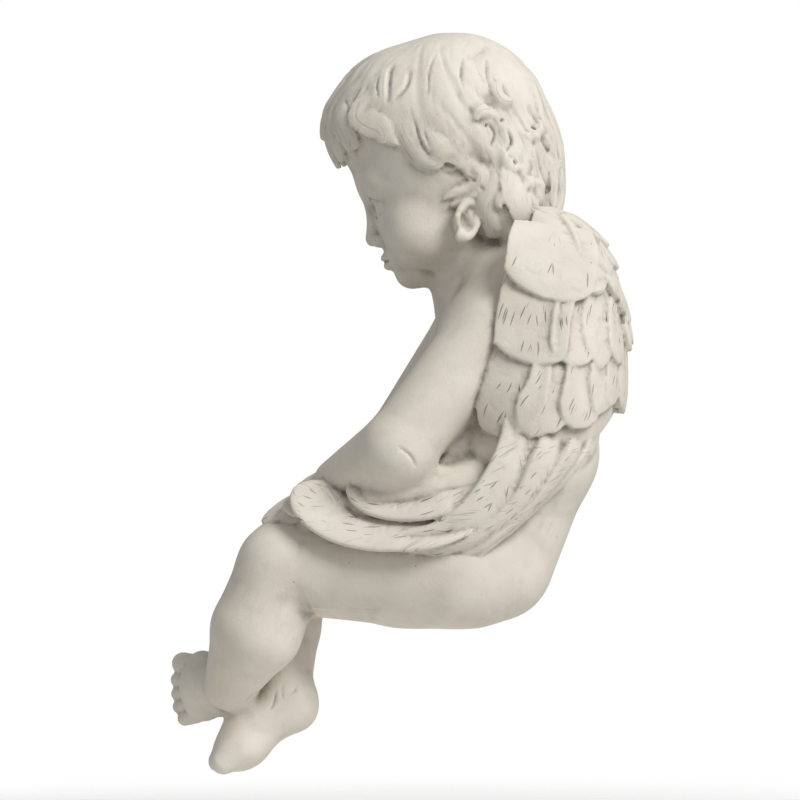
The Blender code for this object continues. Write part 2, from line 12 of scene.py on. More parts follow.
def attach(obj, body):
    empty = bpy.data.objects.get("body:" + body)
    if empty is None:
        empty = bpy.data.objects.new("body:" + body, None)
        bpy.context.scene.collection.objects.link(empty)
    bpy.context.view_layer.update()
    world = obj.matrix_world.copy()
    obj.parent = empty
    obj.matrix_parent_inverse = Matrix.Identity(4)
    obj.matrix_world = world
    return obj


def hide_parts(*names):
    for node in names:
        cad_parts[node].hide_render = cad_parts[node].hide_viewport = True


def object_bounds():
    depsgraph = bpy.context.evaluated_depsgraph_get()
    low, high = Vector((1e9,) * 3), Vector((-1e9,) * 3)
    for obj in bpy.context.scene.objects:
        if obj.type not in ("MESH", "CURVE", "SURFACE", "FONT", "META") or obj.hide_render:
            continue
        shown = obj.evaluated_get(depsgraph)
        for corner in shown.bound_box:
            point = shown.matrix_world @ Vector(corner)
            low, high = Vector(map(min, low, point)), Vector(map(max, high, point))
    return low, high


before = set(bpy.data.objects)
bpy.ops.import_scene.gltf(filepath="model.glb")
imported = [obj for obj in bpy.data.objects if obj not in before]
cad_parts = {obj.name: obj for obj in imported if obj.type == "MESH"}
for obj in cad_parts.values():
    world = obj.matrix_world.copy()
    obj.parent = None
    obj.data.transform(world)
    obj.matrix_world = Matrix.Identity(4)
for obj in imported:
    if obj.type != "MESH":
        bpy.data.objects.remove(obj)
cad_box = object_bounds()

# The body. The sculptor builds a plump child in clay from rounded masses and runs them into one
# another. The casting is 400 mm high, and every size of the clay is a share of that: one is 1/400.

FIGURE_HEIGHT = 0.400
SHARE = FIGURE_HEIGHT / 400
LEFT, RIGHT = 1, -1
FAR, NEAR = 60.0, 8.0  # no measured point lies further off, and no form is felt further off
LEAST_STEEP = 0.2  # keeps a point in a sharp hollow from being thrown far off


class Ball:
    """A rounded mass, placed by a matrix. The blend is the radius of the joint with its neighbours."""

    def __init__(self, centre, radii, blend=4.0, place=None):
        self.place = (place or Matrix()) @ Matrix.Translation(centre)
        self.radii = np.array([radii] * 3 if isinstance(radii, (int, float)) else radii, float)
        self.blend = blend
        self.middle = np.array(self.place.translation)
        self.reach = self.radii.max()

    def distance(self, points):
        local = (points - self.middle) @ np.array(self.place.to_3x3())
        near = np.linalg.norm(local / self.radii, axis=1)
        slope = np.linalg.norm(local / self.radii**2, axis=1)
        return near * (near - 1) / np.maximum(slope, 1e-9)

    def solid(self):
        mesh = bmesh.new()
        scale = Matrix.Diagonal((*self.radii, 1))
        bmesh.ops.create_uvsphere(mesh, u_segments=24, v_segments=14, radius=1, matrix=self.place @ scale)
        return mesh


class Limb:
    """A tapered round limb with a ball at each end."""

    def __init__(self, start, end, start_radius, end_radius, blend=4.0, place=None):
        place = place or Matrix()
        self.start, self.end = (np.array(place @ Vector(p)) for p in (start, end))
        self.start_radius, self.end_radius = float(start_radius), float(end_radius)
        self.blend = blend
        self.middle = (self.start + self.end) / 2
        self.reach = np.linalg.norm(self.end - self.start) / 2 + max(start_radius, end_radius)

    def distance(self, points):
        axis = self.end - self.start
        taper = self.start_radius - self.end_radius
        length2 = axis @ axis
        slant2 = max(length2 - taper * taper, 1e-9)
        offset = points - self.start
        along = offset @ axis
        beyond = along - length2
        across2 = ((offset * length2 - np.outer(along, axis)) ** 2).sum(1)
        limit = np.sign(taper) * taper * taper * across2
        side = (np.sqrt(across2 * slant2 / length2) + along * taper) / length2 - self.start_radius
        near_start = np.sqrt(across2 + along * along * length2) / length2 - self.start_radius
        near_end = np.sqrt(across2 + beyond * beyond * length2) / length2 - self.end_radius
        result = np.where(np.sign(along) * slant2 * along * along * length2 < limit, near_start, side)
        return np.where(np.sign(beyond) * slant2 * beyond * beyond * length2 > limit, near_end, result)

    def solid(self):
        mesh = bmesh.new()
        for centre, radius in ((self.start, self.start_radius), (self.end, self.end_radius)):
            at = Matrix.Translation(centre)
            bmesh.ops.create_uvsphere(mesh, u_segments=16, v_segments=10, radius=radius, matrix=at)
        hull = bmesh.ops.convex_hull(mesh, input=mesh.verts[:], use_existing_faces=False)
        inside = set(hull["geom_interior"]) | set(hull["geom_unused"])
        bmesh.ops.delete(mesh, geom=[v for v in inside if isinstance(v, bmesh.types.BMVert)], context="VERTS")
        return mesh


def blended(first, second, radius):
    """The distance to two forms run together with a soft joint of about this radius."""
    share = np.clip(0.5 + 0.5 * (second - first) / radius, 0, 1)
    return second + (first - second) * share - radius * share * (1 - share)


def clay_distance(points, forms, hollows):
    result = np.full(len(points), FAR)
    for form in forms:
        near = np.linalg.norm(points - form.middle, axis=1) < form.reach + form.blend + NEAR
        result[near] = blended(result[near], form.distance(points[near]), form.blend)
    for hollow in hollows:
        near = np.linalg.norm(points - hollow.middle, axis=1) < hollow.reach + hollow.blend + NEAR
        result[near] = -blended(-result[near], hollow.distance(points[near]), hollow.blend)
    return result


def clay_slope(points, forms, hollows, step=0.05):
    """Which way, and how steeply, the distance grows at each point. The step is in shares."""
    sides = []
    for axis in step * np.eye(3):
        ahead, behind = (clay_distance(points + way * axis, forms, hollows) for way in (1, -1))
        sides.append(ahead - behind)
    return np.stack(sides, axis=1) / (2 * step)


def drawn_to_clay(points, forms, hollows, steps=3):
    """Moves each point straight onto the blended surface."""
    for _ in range(steps):
        slope = clay_slope(points, forms, hollows)
        steep = np.maximum((slope**2).sum(1), LEAST_STEEP)
        points = points - slope * (clay_distance(points, forms, hollows) / steep)[:, None]
    return points


def both(make):
    """The same forms on the left and the right."""
    return [form for side in (LEFT, RIGHT) for form in make(side)]


def trunk():
    def flank(side):
        return [
            Ball((side * 28, 9, 37.5), (37, 41, 38), 6),  # the hip
            Ball((side * 24, 33, 26), (26, 17, 17.5), 6),  # the rear corner of the seat
            Limb((side * 22, 27, 39), (side * 22, 42, 92), 32, 37, 8),  # the lower back
            Limb((side * 31, 20, 118), (side * 32, 8, 75), 18, 19, 8),  # the flank
            Ball((side * 30, 22, 158), (27, 26, 25), 9),  # the side of the chest
            Limb((side * 42, 34, 160), (side * 38, 49, 206), 22, 15, 8),  # up under the top of the wing
            Limb((side * 20, 28, 196), (side * 42, 28, 168), 15, 18, 10),  # from the neck to the shoulder
        ]

    return [
        Ball((0, 4, 38), (46, 42, 41.5)),  # the seat
        *both(flank),
        Ball((0, 0, 74), (42, 34, 34), 10),  # the belly
        Ball((0, 20, 128), (45, 34, 44), 10),  # the chest
        Ball((0, 46, 150), (58, 42, 68), 10),  # the back, between the wings
        Limb((0, 20, 176), (0, 12, 214), 26, 25, 10),  # the neck
    ]


def arm(side):
    shoulder = (side * 46, 24 if side == LEFT else 16, 161)
    elbow = (side * 57, -25, 97)
    wrist = (side * 25, -58, 79)
    return [
        Limb(shoulder, elbow, 21, 19.5, 10),
        Limb(elbow, wrist, 20.5, 12.5, 3),
    ]


def hand(side):
    """A small plump hand. The left one lies over the right one in the lap."""
    palm = Vector((side * 12, -63, 77 if side == LEFT else 68))
    forms = [Ball(palm, (13.5, 12.5, 8), 4)]
    for finger in range(4):
        knuckle = palm + Vector((-side * 9, -8.6 + 5.6 * finger, 0.5))
        reach = 14 - 1.5 * abs(finger - 1)
        forms.append(Limb(knuckle, knuckle + Vector((-side * reach, -0.5, -4.5)), 4.4, 3.8, 0.7))
    thumb = palm + Vector((side * 2, -9, 0))
    forms.append(Limb(thumb, thumb + Vector((-side * 12, -5, -3)), 4.8, 4.0, 1.0))
    return forms


def leg(side):
    hip = (side * 32, 4, 34)
    knee = (side * 28, -87, 33)
    if side == LEFT:
        calf, ankle = (26, -101, 0), (13, -116, -31)
    else:
        calf, ankle = (-20, -92, 0), (0, -86, -33)
    return [
        Limb(hip, knee, 35.5, 24, 4),
        Ball((side * 30, -18, 31.5), (29, 32, 32), 5),  # the fullness of the thigh
        Limb(knee, calf, 23.5, 24.5, 5),
        Limb(calf, ankle, 24, 13.5, 3),
    ]


def foot_place(ankle, toes_towards, big_toe_towards, side):
    """A foot's own axes: +X to the big toe's side, +Y from heel to toes, +Z out of the instep."""
    length = Vector(toes_towards).normalized()
    instep = Vector(big_toe_towards).cross(length).normalized() * side
    across = length.cross(instep) * side
    turn = Matrix((across, length, instep)).transposed().to_4x4()
    return Matrix.Translation(ankle) @ turn


def foot(side):
    if side == LEFT:
        place = foot_place((10, -117, -33), (-0.60, -0.80, -0.02), (0.0, 0.02, 1), side)
        heel, arch, instep, sole, ball, big_toe, parted = 9.5, 11, 11.5, 11.5, 13, 6.2, 0.4
    else:
        place = foot_place((1, -86, -33), (0.02, -0.90, -0.43), (1, 0, -0.1), side)
        heel, arch, instep, sole, ball, big_toe, parted = 11.5, 13, 14, 13, 16, 6.4, 5.0
    forms = [
        Ball((0, 0.5, -13), (heel, heel, heel), 5, place),  # the heel
        Limb((0, -1, -7), (1, 28, -12), arch, instep, 6, place),  # over the instep
        Limb((-7, 5, -13), (-8, 30, -17), heel - 1, heel - 1, 6, place),  # the outer edge
        Ball((1, 19 + ball, -18), (19, ball, sole), 6, place),  # the ball of the foot
    ]
    # From the big toe out: across, forward and the radius.
    toes = ((12.6, 47.5, big_toe), (3.6, 51, 4.3), (-4, 51, 4.1), (-11.0, 50, 4.1), (-17.4, 46.5, 4.2))
    for across, length, radius in toes:
        start = (across * 0.85, length - 11, -17)
        forms.append(Limb(start, (across, length, -20), radius + 0.8, radius, parted, place))
    return forms


# The head. It nods forward and looks down into the lap. The face is a calm child's: a high brow,
# lowered lids, a short nose, full cheeks and a small mouth, pressed and smoothed in the same clay.

HEAD_NOD = 20.0  # degrees forward
HEAD = Matrix.Translation((0, 2.7, 250.5)) @ Matrix.Rotation(math.radians(HEAD_NOD), 4, "X")


def face():
    def half(side):
        return [
            Ball((side * 22, -29, -29), (18.5, 18, 18), 8, HEAD),  # the cheek
            Ball((side * 14, -41, 4), (12, 6.5, 6.5), 9, HEAD),  # the brow
            Ball((side * 16.5, -38.6, -11), (9.6, 8.8, 8.2), 2.0, HEAD),  # the lowered lid
            Ball((side * 4.4, -50.2, -26.6), (3.6, 3.8, 3.2), 2.0, HEAD),  # the side of the nose
            # The upper and the lower lip.
            Limb((side * 1.6, -51.0, -35.6), (side * 8.6, -46.6, -37.4), 2.3, 1.1, 1.0, HEAD),
            Limb((side * 1.4, -49.9, -40.4), (side * 7.2, -47.2, -38.9), 2.8, 1.3, 1.2, HEAD),
        ]

    return [
        Ball((0, 4, 4), (47, 56, 53), 4, HEAD),  # the skull
        Ball((0, -10, -24), (40, 39, 33), 9, HEAD),  # the lower face
        Ball((0, -38, -48.5), (11.5, 10.5, 9), 7, HEAD),  # the chin
        Ball((0, -42, -37), (13, 8.5, 8), 6, HEAD),  # round the mouth
        Limb((0, -46, -9), (0, -52.5, -24), 3.6, 4.6, 5, HEAD),  # the nose
        *both(half),
    ]


def face_hollows():
    def half(side):
        return [
            Ball((side * 16.5, -55, -9), (10, 7, 7), 6, HEAD),  # the eye socket
            Ball((side * 2.5, -53.0, -29.6), (1.5, 2.0, 1.2), 1.2, HEAD),  # the nostril
            Ball((side * 47.6, -3.6, -34), (3.2, 3.0, 5.0), 2.0, HEAD),  # the hollow of the ear
        ]

    return [*both(half), Ball((0, -53.4, -32.4), (1.8, 3.4, 3.6), 2.0, HEAD)]  # and under the nose


EAR_PLACE = Vector((42, -4, -33))  # on the left of the head
EAR_LEAN, EAR_TURN = 0.62, 0.35  # how far the top leans back and the back stands off, in radians


def ear(side):
    at = HEAD @ Matrix.Translation((side * EAR_PLACE.x, EAR_PLACE.y, EAR_PLACE.z))
    place = at @ Matrix.Rotation(side * EAR_TURN, 4, "Z") @ Matrix.Rotation(-EAR_LEAN, 4, "X")
    forms = [Ball((-side * 1, 0, 0), (4.6, 5.6, 9), 3, place)]
    # The rim, from the lobe up the back, over the top and down in front.
    for i in range(13):
        turn = math.radians(-72 + 21 * i)
        spot = (side * 3.9, 5.4 * math.cos(turn), 10.2 * math.sin(turn))
        forms.append(Ball(spot, 2.4, 1.6, place))
    # The fold within it, the lobe, and the flap before the opening.
    forms.append(Limb((side * 3.2, 0.6, 5), (side * 3.4, 2.4, -1), 1.4, 1.4, 1.0, place))
    forms.append(Limb((side * 3.4, 2.4, -1), (side * 2.8, 0.4, -6), 1.4, 1.4, 1.0, place))
    forms.append(Ball((side * 2.4, -0.6, -9.4), (2.6, 3.4, 3.8), 2, place))
    forms.append(Ball((side * 2.8, -4.8, -2.4), (2.0, 1.8, 2.6), 1.5, place))
    return forms


def hair_mass():
    def half(side):
        return [Ball((side * 35, 20, -30), (15, 18, 19), 8, HEAD)]  # behind the ear

    return [
        Ball((0, 7, 19), (53, 53, 50.3), 3, HEAD),  # the cap
        Ball((0, -13, 28), (46, 37.5, 42), 6, HEAD),  # above the brow
        Ball((0, -35, 33), (34, 18.5, 18.5), 10, HEAD),  # under the forelock
        Ball((0, 28, -6), (46, 29.5, 34), 6, HEAD),  # the back of the head
        *both(half),
        Ball((0, 31, -27), (34, 20, 24), 8, HEAD),  # the nape
    ]


# The feathers and locks. Each is a tongue of clay laid on the form: a path with a width, a thickness
# and a lean, which one node tree sweeps into a closed blade. The carver's lines come after.

PATH_STEP = 1.2  # between the points of a path, in shares
HAIR, COVERT, LONG_FEATHER = 0.4, 0.7, 1.0  # what a blade is, for the finish, where bare skin is 0


def add_node(tree, kind, inputs=None, **settings):
    """Adds a node. Each input is given a value, or a link where it is another node's socket."""
    made = tree.nodes.new(kind)
    for name, value in settings.items():
        setattr(made, name, value)
    for socket, value in (inputs or {}).items():
        if isinstance(value, bpy.types.NodeSocket):
            tree.links.new(value, made.inputs[socket])
        else:
            made.inputs[socket].default_value = value
    return made


def add_object(name, data):
    """An object of this data, put in the scene."""
    made = bpy.data.objects.new(name, data)
    bpy.context.scene.collection.objects.link(made)
    return made


def evaluated(made):
    """What an object's modifiers make of it, as a plain mesh."""
    bpy.context.view_layer.update()
    return bpy.data.meshes.new_from_object(made.evaluated_get(bpy.context.evaluated_depsgraph_get()))


def read_points(mesh, what="co"):
    """The places, or the normals, of a mesh's points as an array."""
    values = np.empty(len(mesh.vertices) * 3, np.float32)
    mesh.vertices.foreach_get(what, values)
    return values.reshape(-1, 3).astype(float)


def write_points(mesh, points):
    mesh.vertices.foreach_set("co", points.astype(np.float32).ravel())


def read(mesh, name):
    """An attribute of a mesh's points as an array."""
    attribute = mesh.attributes[name]
    field, width = ("value", 1) if attribute.data_type == "FLOAT" else ("vector", 3)
    values = np.empty(len(mesh.vertices) * width, np.float32)
    attribute.data.foreach_get(field, values)
    return values.astype(float) if width == 1 else values.reshape(-1, width).astype(float)


def store(mesh, name, values):
    """Puts an array on a mesh's points as an attribute."""
    kind, field = ("FLOAT", "value") if values.ndim == 1 else ("FLOAT_VECTOR", "vector")
    attribute = mesh.attributes.new(name, kind, "POINT")
    attribute.data.foreach_set(field, values.astype(np.float32).ravel())


def smooth_path(knots, count):
    """Evenly numbered points on a smooth curve through the knots."""
    knots = np.array(knots, float)
    padded = np.vstack([2 * knots[0] - knots[1], knots, 2 * knots[-1] - knots[-2]])
    spans = len(knots) - 1
    at = np.linspace(0, spans, count)
    span = np.minimum(at.astype(int), spans - 1)
    t = (at - span)[:, None]
    before, first, second, after = (padded[span + i] for i in range(4))
    return 0.5 * (
        2 * first
        + (second - before) * t
        + (2 * before - 5 * first + 4 * second - after) * t**2
        + (3 * first - before - 3 * second + after) * t**3
    )


def unit(vectors):
    return vectors / np.maximum(np.linalg.norm(vectors, axis=-1, keepdims=True), 1e-9)


def blade_outline(along, root, shoulder, pointed=0.0):
    """Half width, from 0 to 1, of a blade that swells from its root and ends in a round or drawn-out tip."""
    swell = root + (1 - root) * np.sin(np.clip(along / 0.35, 0, 1) * math.pi / 2)
    past = np.clip((along - shoulder) / (1 - shoulder), 0, 1)
    return swell * np.maximum(1 - past ** (2.4 - 1.1 * pointed), 0.0) ** (0.5 + 0.5 * pointed)


class Paths:
    """Paths of blades, gathered for the node tree, with what it needs at each point: the place, the ways
    across and out, half the width, the height, the flow (length, half width, number) and the share."""

    def __init__(self):
        self.columns = {name: [] for name in ("at", "aside", "outward", "wide", "tall", "flow", "spot")}
        self.counts = []

    def add(
        self, centres, normals, half_width, thickness, root, shoulder, tilt,
        ragged=0.0, pointed=0.0, narrowing=None,
    ):
        length = np.linalg.norm(np.diff(centres, axis=0), axis=1).sum()
        count = max(int(length / PATH_STEP), 12)
        at = np.linspace(0, 1, count)
        old = np.linspace(0, 1, len(centres))
        centres = np.stack([np.interp(at, old, centres[:, i]) for i in range(3)], axis=1)
        normals = np.stack([np.interp(at, old, normals[:, i]) for i in range(3)], axis=1)
        tangents = unit(np.gradient(centres, axis=0))
        across = unit(np.cross(tangents, normals))
        normals = unit(np.cross(across, tangents))
        lean = math.radians(tilt)
        aside = across * math.cos(lean) + normals * math.sin(lean)
        outward = normals * math.cos(lean) - across * math.sin(lean)
        number = len(self.counts) * 0.618 % 1  # so that no blade is carved like the one beside it
        narrowed = 1.0 if narrowing is None else np.interp(at, old, narrowing)
        wide = np.maximum(blade_outline(at, root, shoulder, pointed) * narrowed, 0.04) * half_width
        notch = np.abs(np.sin(at * 23 + number * 40)) ** 6 + np.abs(np.sin(at * 13 + number * 70)) ** 8
        wide = wide * (1 - ragged * notch * (at > 0.45))
        tall = thickness * (0.6 + 0.4 * wide / half_width)
        flow = np.stack([at * length, half_width + 0 * at, number + 0 * at], axis=1)
        for column, values in zip(self.columns.values(), (centres, aside, outward, wide, tall, flow, at)):
            column.append(values)
        self.counts.append(count)

    def laid_out(self, name):
        """The paths as an object of loose edges, with what the node tree reads on their points."""
        data = bpy.data.meshes.new(name)
        total = sum(self.counts)
        ends = np.cumsum(self.counts)
        first = np.setdiff1d(np.arange(total), ends - 1)
        data.vertices.add(total)
        data.edges.add(len(first))
        write_points(data, np.vstack(self.columns["at"]))
        data.edges.foreach_set("vertices", np.stack([first, first + 1], axis=1).astype(np.int32).ravel())
        for key, column in self.columns.items():
            if key != "at":
                store(data, key, np.concatenate(column))
        return add_object(name, data)


def blade_tree():
    """Sweeps a flattened round along each path, as wide and as tall as its points say."""
    tree = bpy.data.node_groups.new("blade_sweep", "GeometryNodeTree")
    inputs = {"Paths": "Geometry", "Sides": "Int", "Flatness": "Float", "Underside": "Float"}
    for name, kind in inputs.items():
        socket = tree.interface.new_socket(name=name, in_out="INPUT", socket_type="NodeSocket" + kind)
        inputs[name] = socket.identifier
    tree.interface.new_socket(name="Blades", in_out="OUTPUT", socket_type="NodeSocketGeometry")
    given = tree.nodes.new("NodeGroupInput").outputs

    def named(attribute, kind="FLOAT_VECTOR"):
        node = add_node(tree, "GeometryNodeInputNamedAttribute", {"Name": attribute}, data_type=kind)
        return node.outputs["Attribute"]

    place = tree.nodes.new("GeometryNodeInputPosition").outputs[0]
    keep = add_node(
        tree,
        "GeometryNodeStoreNamedAttribute",
        {"Geometry": given["Paths"], "Name": "spine", "Value": place},
        data_type="FLOAT_VECTOR",
    )
    rail = add_node(tree, "GeometryNodeMeshToCurve", {"Mesh": keep.outputs[0]})
    ring = add_node(tree, "GeometryNodeCurvePrimitiveCircle", {"Resolution": given["Sides"], "Radius": 1.0})
    rim = add_node(
        tree,
        "GeometryNodeStoreNamedAttribute",
        {"Geometry": ring.outputs["Curve"], "Name": "rim", "Value": place},
        data_type="FLOAT_VECTOR",
    )
    swept = add_node(
        tree,
        "GeometryNodeCurveToMesh",
        {"Curve": rail.outputs[0], "Profile Curve": rim.outputs[0], "Fill Caps": True},
    )
    split = add_node(tree, "ShaderNodeSeparateXYZ", {0: named("rim")})
    height = add_node(tree, "ShaderNodeMath", {0: split.outputs["Y"]}, operation="ABSOLUTE")
    fuller = add_node(tree, "ShaderNodeMath", {0: height.outputs[0], 1: given["Flatness"]}, operation="POWER")
    above = add_node(tree, "ShaderNodeMath", {0: split.outputs["Y"], 1: 0.0}, operation="GREATER_THAN")
    share = add_node(tree, "ShaderNodeMix", {"Factor": above.outputs[0], "A": given["Underside"], "B": 1.0})
    rise = add_node(tree, "ShaderNodeMath", {0: fuller.outputs[0], 1: share.outputs[0]}, operation="MULTIPLY")
    moved = []
    for way, amount, along in (("aside", "wide", split.outputs["X"]), ("outward", "tall", rise.outputs[0])):
        length = add_node(tree, "ShaderNodeMath", {0: along, 1: named(amount, "FLOAT")}, operation="MULTIPLY")
        scaled = {0: named(way), "Scale": length.outputs[0]}
        moved.append(add_node(tree, "ShaderNodeVectorMath", scaled, operation="SCALE").outputs[0])
    offset = add_node(tree, "ShaderNodeVectorMath", {0: moved[0], 1: moved[1]})
    spot = add_node(tree, "ShaderNodeVectorMath", {0: named("spine"), 1: offset.outputs[0]})
    shaped = add_node(
        tree, "GeometryNodeSetPosition", {"Geometry": swept.outputs[0], "Position": spot.outputs[0]}
    )
    real = add_node(tree, "GeometryNodeRealizeInstances", {0: shaped.outputs[0]})
    finish = add_node(tree, "GeometryNodeSetMaterial", {"Geometry": real.outputs[0]})
    out = tree.nodes.new("NodeGroupOutput")
    tree.links.new(finish.outputs[0], out.inputs["Blades"])
    return tree, inputs


def swept_blades(paths, name, sides, flatness, underside=-0.6):
    """Runs the node tree on gathered paths. The underside is how deep a blade goes, against its height."""
    made = paths.laid_out(name)
    modifier = made.modifiers.new("sweep", "NODES")
    modifier.node_group = BLADE_TREE
    for key, value in (("Sides", sides), ("Flatness", flatness), ("Underside", underside)):
        modifier[BLADE_INPUTS[key]] = value
    mesh = evaluated(made)
    bpy.data.objects.remove(made)
    return mesh


BLADE_TREE, BLADE_INPUTS = blade_tree()


# The wings. Each is a shell round the back with five rows of short feathers over it, and four long
# feathers that sweep round the hip. Four more lie over the thigh. All are cast with the body.

WING_MIDDLE, WING_HALF_HEIGHT = 150.0, 78.0  # the height at which it is widest, and from there to its end
WING_BACK, WING_BACK_REACH, WING_SIDE_REACH = 50.0, 46.0, 64.0
WING_LEAST_OUT = 8.0  # how far out it still stands at its ends
SHELL_THICKNESS = 9.0
SHELL_LOW, SPINE_LOW, SHELL_HIGH = 90.0, 128.0, 226.0  # its lower edge in front and at the spine, its top
SHOULDER_HEIGHT, DRAWN_OVER = 165.0, 60.0  # above it and below it the shell draws in over this height
SQUARENESS = 3.5  # how square the wing's outline is from in front, where 2 is a round
AXIS_OUT, AXIS_UP_OUT, AXIS_DOWN_OUT = 6, 26, 14  # where the shell turns from, and how much further out
BACK_TURN, BACK_UP_TURN = 90, 50  # how far round it goes, in degrees, and how much further at the top
# How far round the front edge of the shell comes at each height, in degrees from straight sideways.
EDGE_HEIGHTS = (95, 109, 127, 149, 165, 189, 226)
EDGE_TURNS = (-60, -53, -35, -26, -23, -18, -12)
FRONT_FLATNESS = 0.7  # below 1, the front quarter of the shell is flatter than a round


def wing_point(side, across, height):
    """A point of the shell: across is 0 at the front edge and 1 at the spine, height is Z."""
    level = np.clip((height - WING_MIDDLE) / WING_HALF_HEIGHT, -0.995, 0.995)
    back = WING_BACK_REACH * np.sqrt(1 - level**2)
    out = WING_LEAST_OUT + WING_SIDE_REACH * (1 - np.abs(level) ** SQUARENESS) ** (1 / SQUARENESS)
    raised = np.clip((height - SHOULDER_HEIGHT) / DRAWN_OVER, 0, 1)
    parted = np.clip((SHOULDER_HEIGHT - height) / DRAWN_OVER, 0, 1)
    axis = AXIS_OUT + AXIS_UP_OUT * raised**2 * (3 - 2 * raised) + AXIS_DOWN_OUT * parted
    front_turn = np.radians(np.interp(height, EDGE_HEIGHTS, EDGE_TURNS))
    back_turn = np.radians(BACK_TURN + BACK_UP_TURN * raised)
    turn = front_turn + (back_turn - front_turn) * across
    sideways = np.where(turn < 0, np.abs(np.cos(turn)) ** FRONT_FLATNESS, np.cos(turn))
    return np.stack(
        [side * (axis + (out - axis) * sideways), WING_BACK + back * np.sin(turn), height + 0 * turn], axis=-1
    )


def wing_normal(side, across, height):
    step = 0.02
    over = wing_point(side, across + step, height) - wing_point(side, across - step, height)
    up = wing_point(side, across, height + 1) - wing_point(side, across, height - 1)
    return unit(np.cross(over, up)) * side


def shell(side, columns=60, rows=60):
    """The shell under the feathers, as points and four-cornered faces."""
    across, rise = np.meshgrid(np.linspace(0, 1, columns), np.linspace(0, 1, rows))
    foot = SHELL_LOW + (SPINE_LOW - SHELL_LOW) * np.clip((across - 0.55) / 0.45, 0, 1) ** 1.5
    height = foot + (SHELL_HIGH - foot) * rise
    outer = wing_point(side, across, height)
    inner = outer - SHELL_THICKNESS * wing_normal(side, across, height)
    points = np.vstack([outer.reshape(-1, 3), inner.reshape(-1, 3)])
    spot = np.arange(rows * columns).reshape(rows, columns)
    a, b, c, d = spot[:-1, :-1], spot[:-1, 1:], spot[1:, 1:], spot[1:, :-1]
    behind = rows * columns
    front = np.stack([a, b, c, d], axis=-1).reshape(-1, 4)
    back = np.stack([a, d, c, b], axis=-1).reshape(-1, 4) + behind
    rim = np.concatenate([spot[0, :-1], spot[:-1, -1], spot[-1, :0:-1], spot[:0:-1, 0]])
    following = np.roll(rim, -1)
    edge = np.stack([following, rim, rim + behind, following + behind], axis=-1)
    return points, np.vstack([front, back, edge])


# Each row of feathers on the shell: where the tips end at the front edge and at the spine, how long the
# feathers are, and how far round the row begins. The two top rows only cover the back of the wing.
COVERT_ROWS = (
    (101, 121, 52, 0.0),
    (137, 148, 52, 0.0),
    (184, 166, 40, 0.0),
    (196, 186, 34, 0.42),
    (212, 207, 28, 0.52),
)
COVERTS_IN_ROW = 7
FRONT_WIDTH, SPINE_WIDTH = 27.0, 12.0  # how wide the first and the last of a row are, against each other
FRONT_LIFT, SPINE_LIFT = 2.8, 6.0  # how far the tips stand off the shell
COVERT_THICKNESS, COVERT_SUNK = 1.4, 1.2  # how thick they are, and how deep the roots lie in it
ROUND_THE_WING = 118.0  # how long a row is
COVERT_LAP = 0.71  # half the width of a feather, against the space it has in the row
COVERT_STRAY, TIP_STRAY = 0.4, 4.5  # out of its place, against its width, and its tip up or down
BROAD_ROWS = {1: 1.08, 2: 1.35}  # where the two leading feathers are one patch, and how much wider it is
OVERHANG = 0.02  # how much of the way round a feather may stand over the front edge
WING_TOP = 222.0  # no feather begins higher


def lay_coverts(paths, side):
    """The short feathers, row over row, each a little out of line with the next as if cut by hand."""
    widths = np.linspace(FRONT_WIDTH, SPINE_WIDTH, COVERTS_IN_ROW)
    ends = np.cumsum(widths) / widths.sum()
    for row, (front_tip, spine_tip, length, begins) in enumerate(COVERT_ROWS):
        for i, end in enumerate(ends):
            wide = widths[i] / widths.sum()
            middle = min(end - wide / 2 + COVERT_STRAY * wide * math.sin(2.4 * row + 0.9 * i), 0.97)
            if middle < begins or (row in BROAD_ROWS and i == 1):
                continue
            half = (COVERT_LAP + 0.05 * (1 - middle) + 0.05 * math.sin(4.3 * i + row)) * wide * ROUND_THE_WING
            if row in BROAD_ROWS and i == 0:
                half *= BROAD_ROWS[row]
            middle = max(middle, half / ROUND_THE_WING - OVERHANG)
            tip = front_tip + (spine_tip - front_tip) * middle + TIP_STRAY * math.sin(5.1 * i + 2.3 * row)
            along = np.linspace(0, 1, 30)
            top = min(tip + length, WING_TOP)
            heights = top + (tip - top) * along
            across = middle + 0.05 * (along - 0.5) * math.cos(3.7 * i + row)
            centres = wing_point(side, across, heights)
            normals = wing_normal(side, across, heights)
            lift = FRONT_LIFT + (SPINE_LIFT - FRONT_LIFT) * middle
            centres = centres + normals * (lift * along**1.4 - COVERT_SUNK)[:, None]
            tip_shape = 0.73 + 0.08 * math.sin(3.1 * i + 1.9 * row)
            tilt = side * (0.8 + 2.2 * middle)
            ragged, pointed = 0.06 * middle, 0.15 + 0.35 * (i % 2)
            paths.add(centres, normals, half, COVERT_THICKNESS, 0.85, tip_shape, tilt, ragged, pointed)


# The long feathers: each line is the edge between two of them, from the ridge that stands highest to the
# edge that lies on the hip, as (x, y, z) for the left wing.
SWEPT_EDGES = (
    ((69, 32, 122), (70, 29, 101), (71.5, 22, 84), (72, 12, 67), (71, 0, 57), (67, -18, 50), (57, -54, 53)),
    ((69, 54, 122), (70, 50, 103), (71.5, 42, 85), (71.5, 34, 70), (71, 19, 57), (68, -3, 46), (57.5, -54, 49.5)),
    ((63, 68, 122), (63.5, 65, 100), (65.5, 58, 87), (67.5, 45, 70), (68, 27, 54), (65, 4, 43), (58, -50, 46.5)),
    ((53, 80, 122), (54, 75, 102), (57, 68, 91), (62, 52, 72), (65.5, 31, 52.5), (64, 8, 41), (58, -50, 45.5)),
    ((38, 86, 118), (41, 82, 97), (48, 69, 84), (56, 52, 70), (62.5, 30, 51), (63, 8, 39.5), (57.5, -50, 44.5)),
)

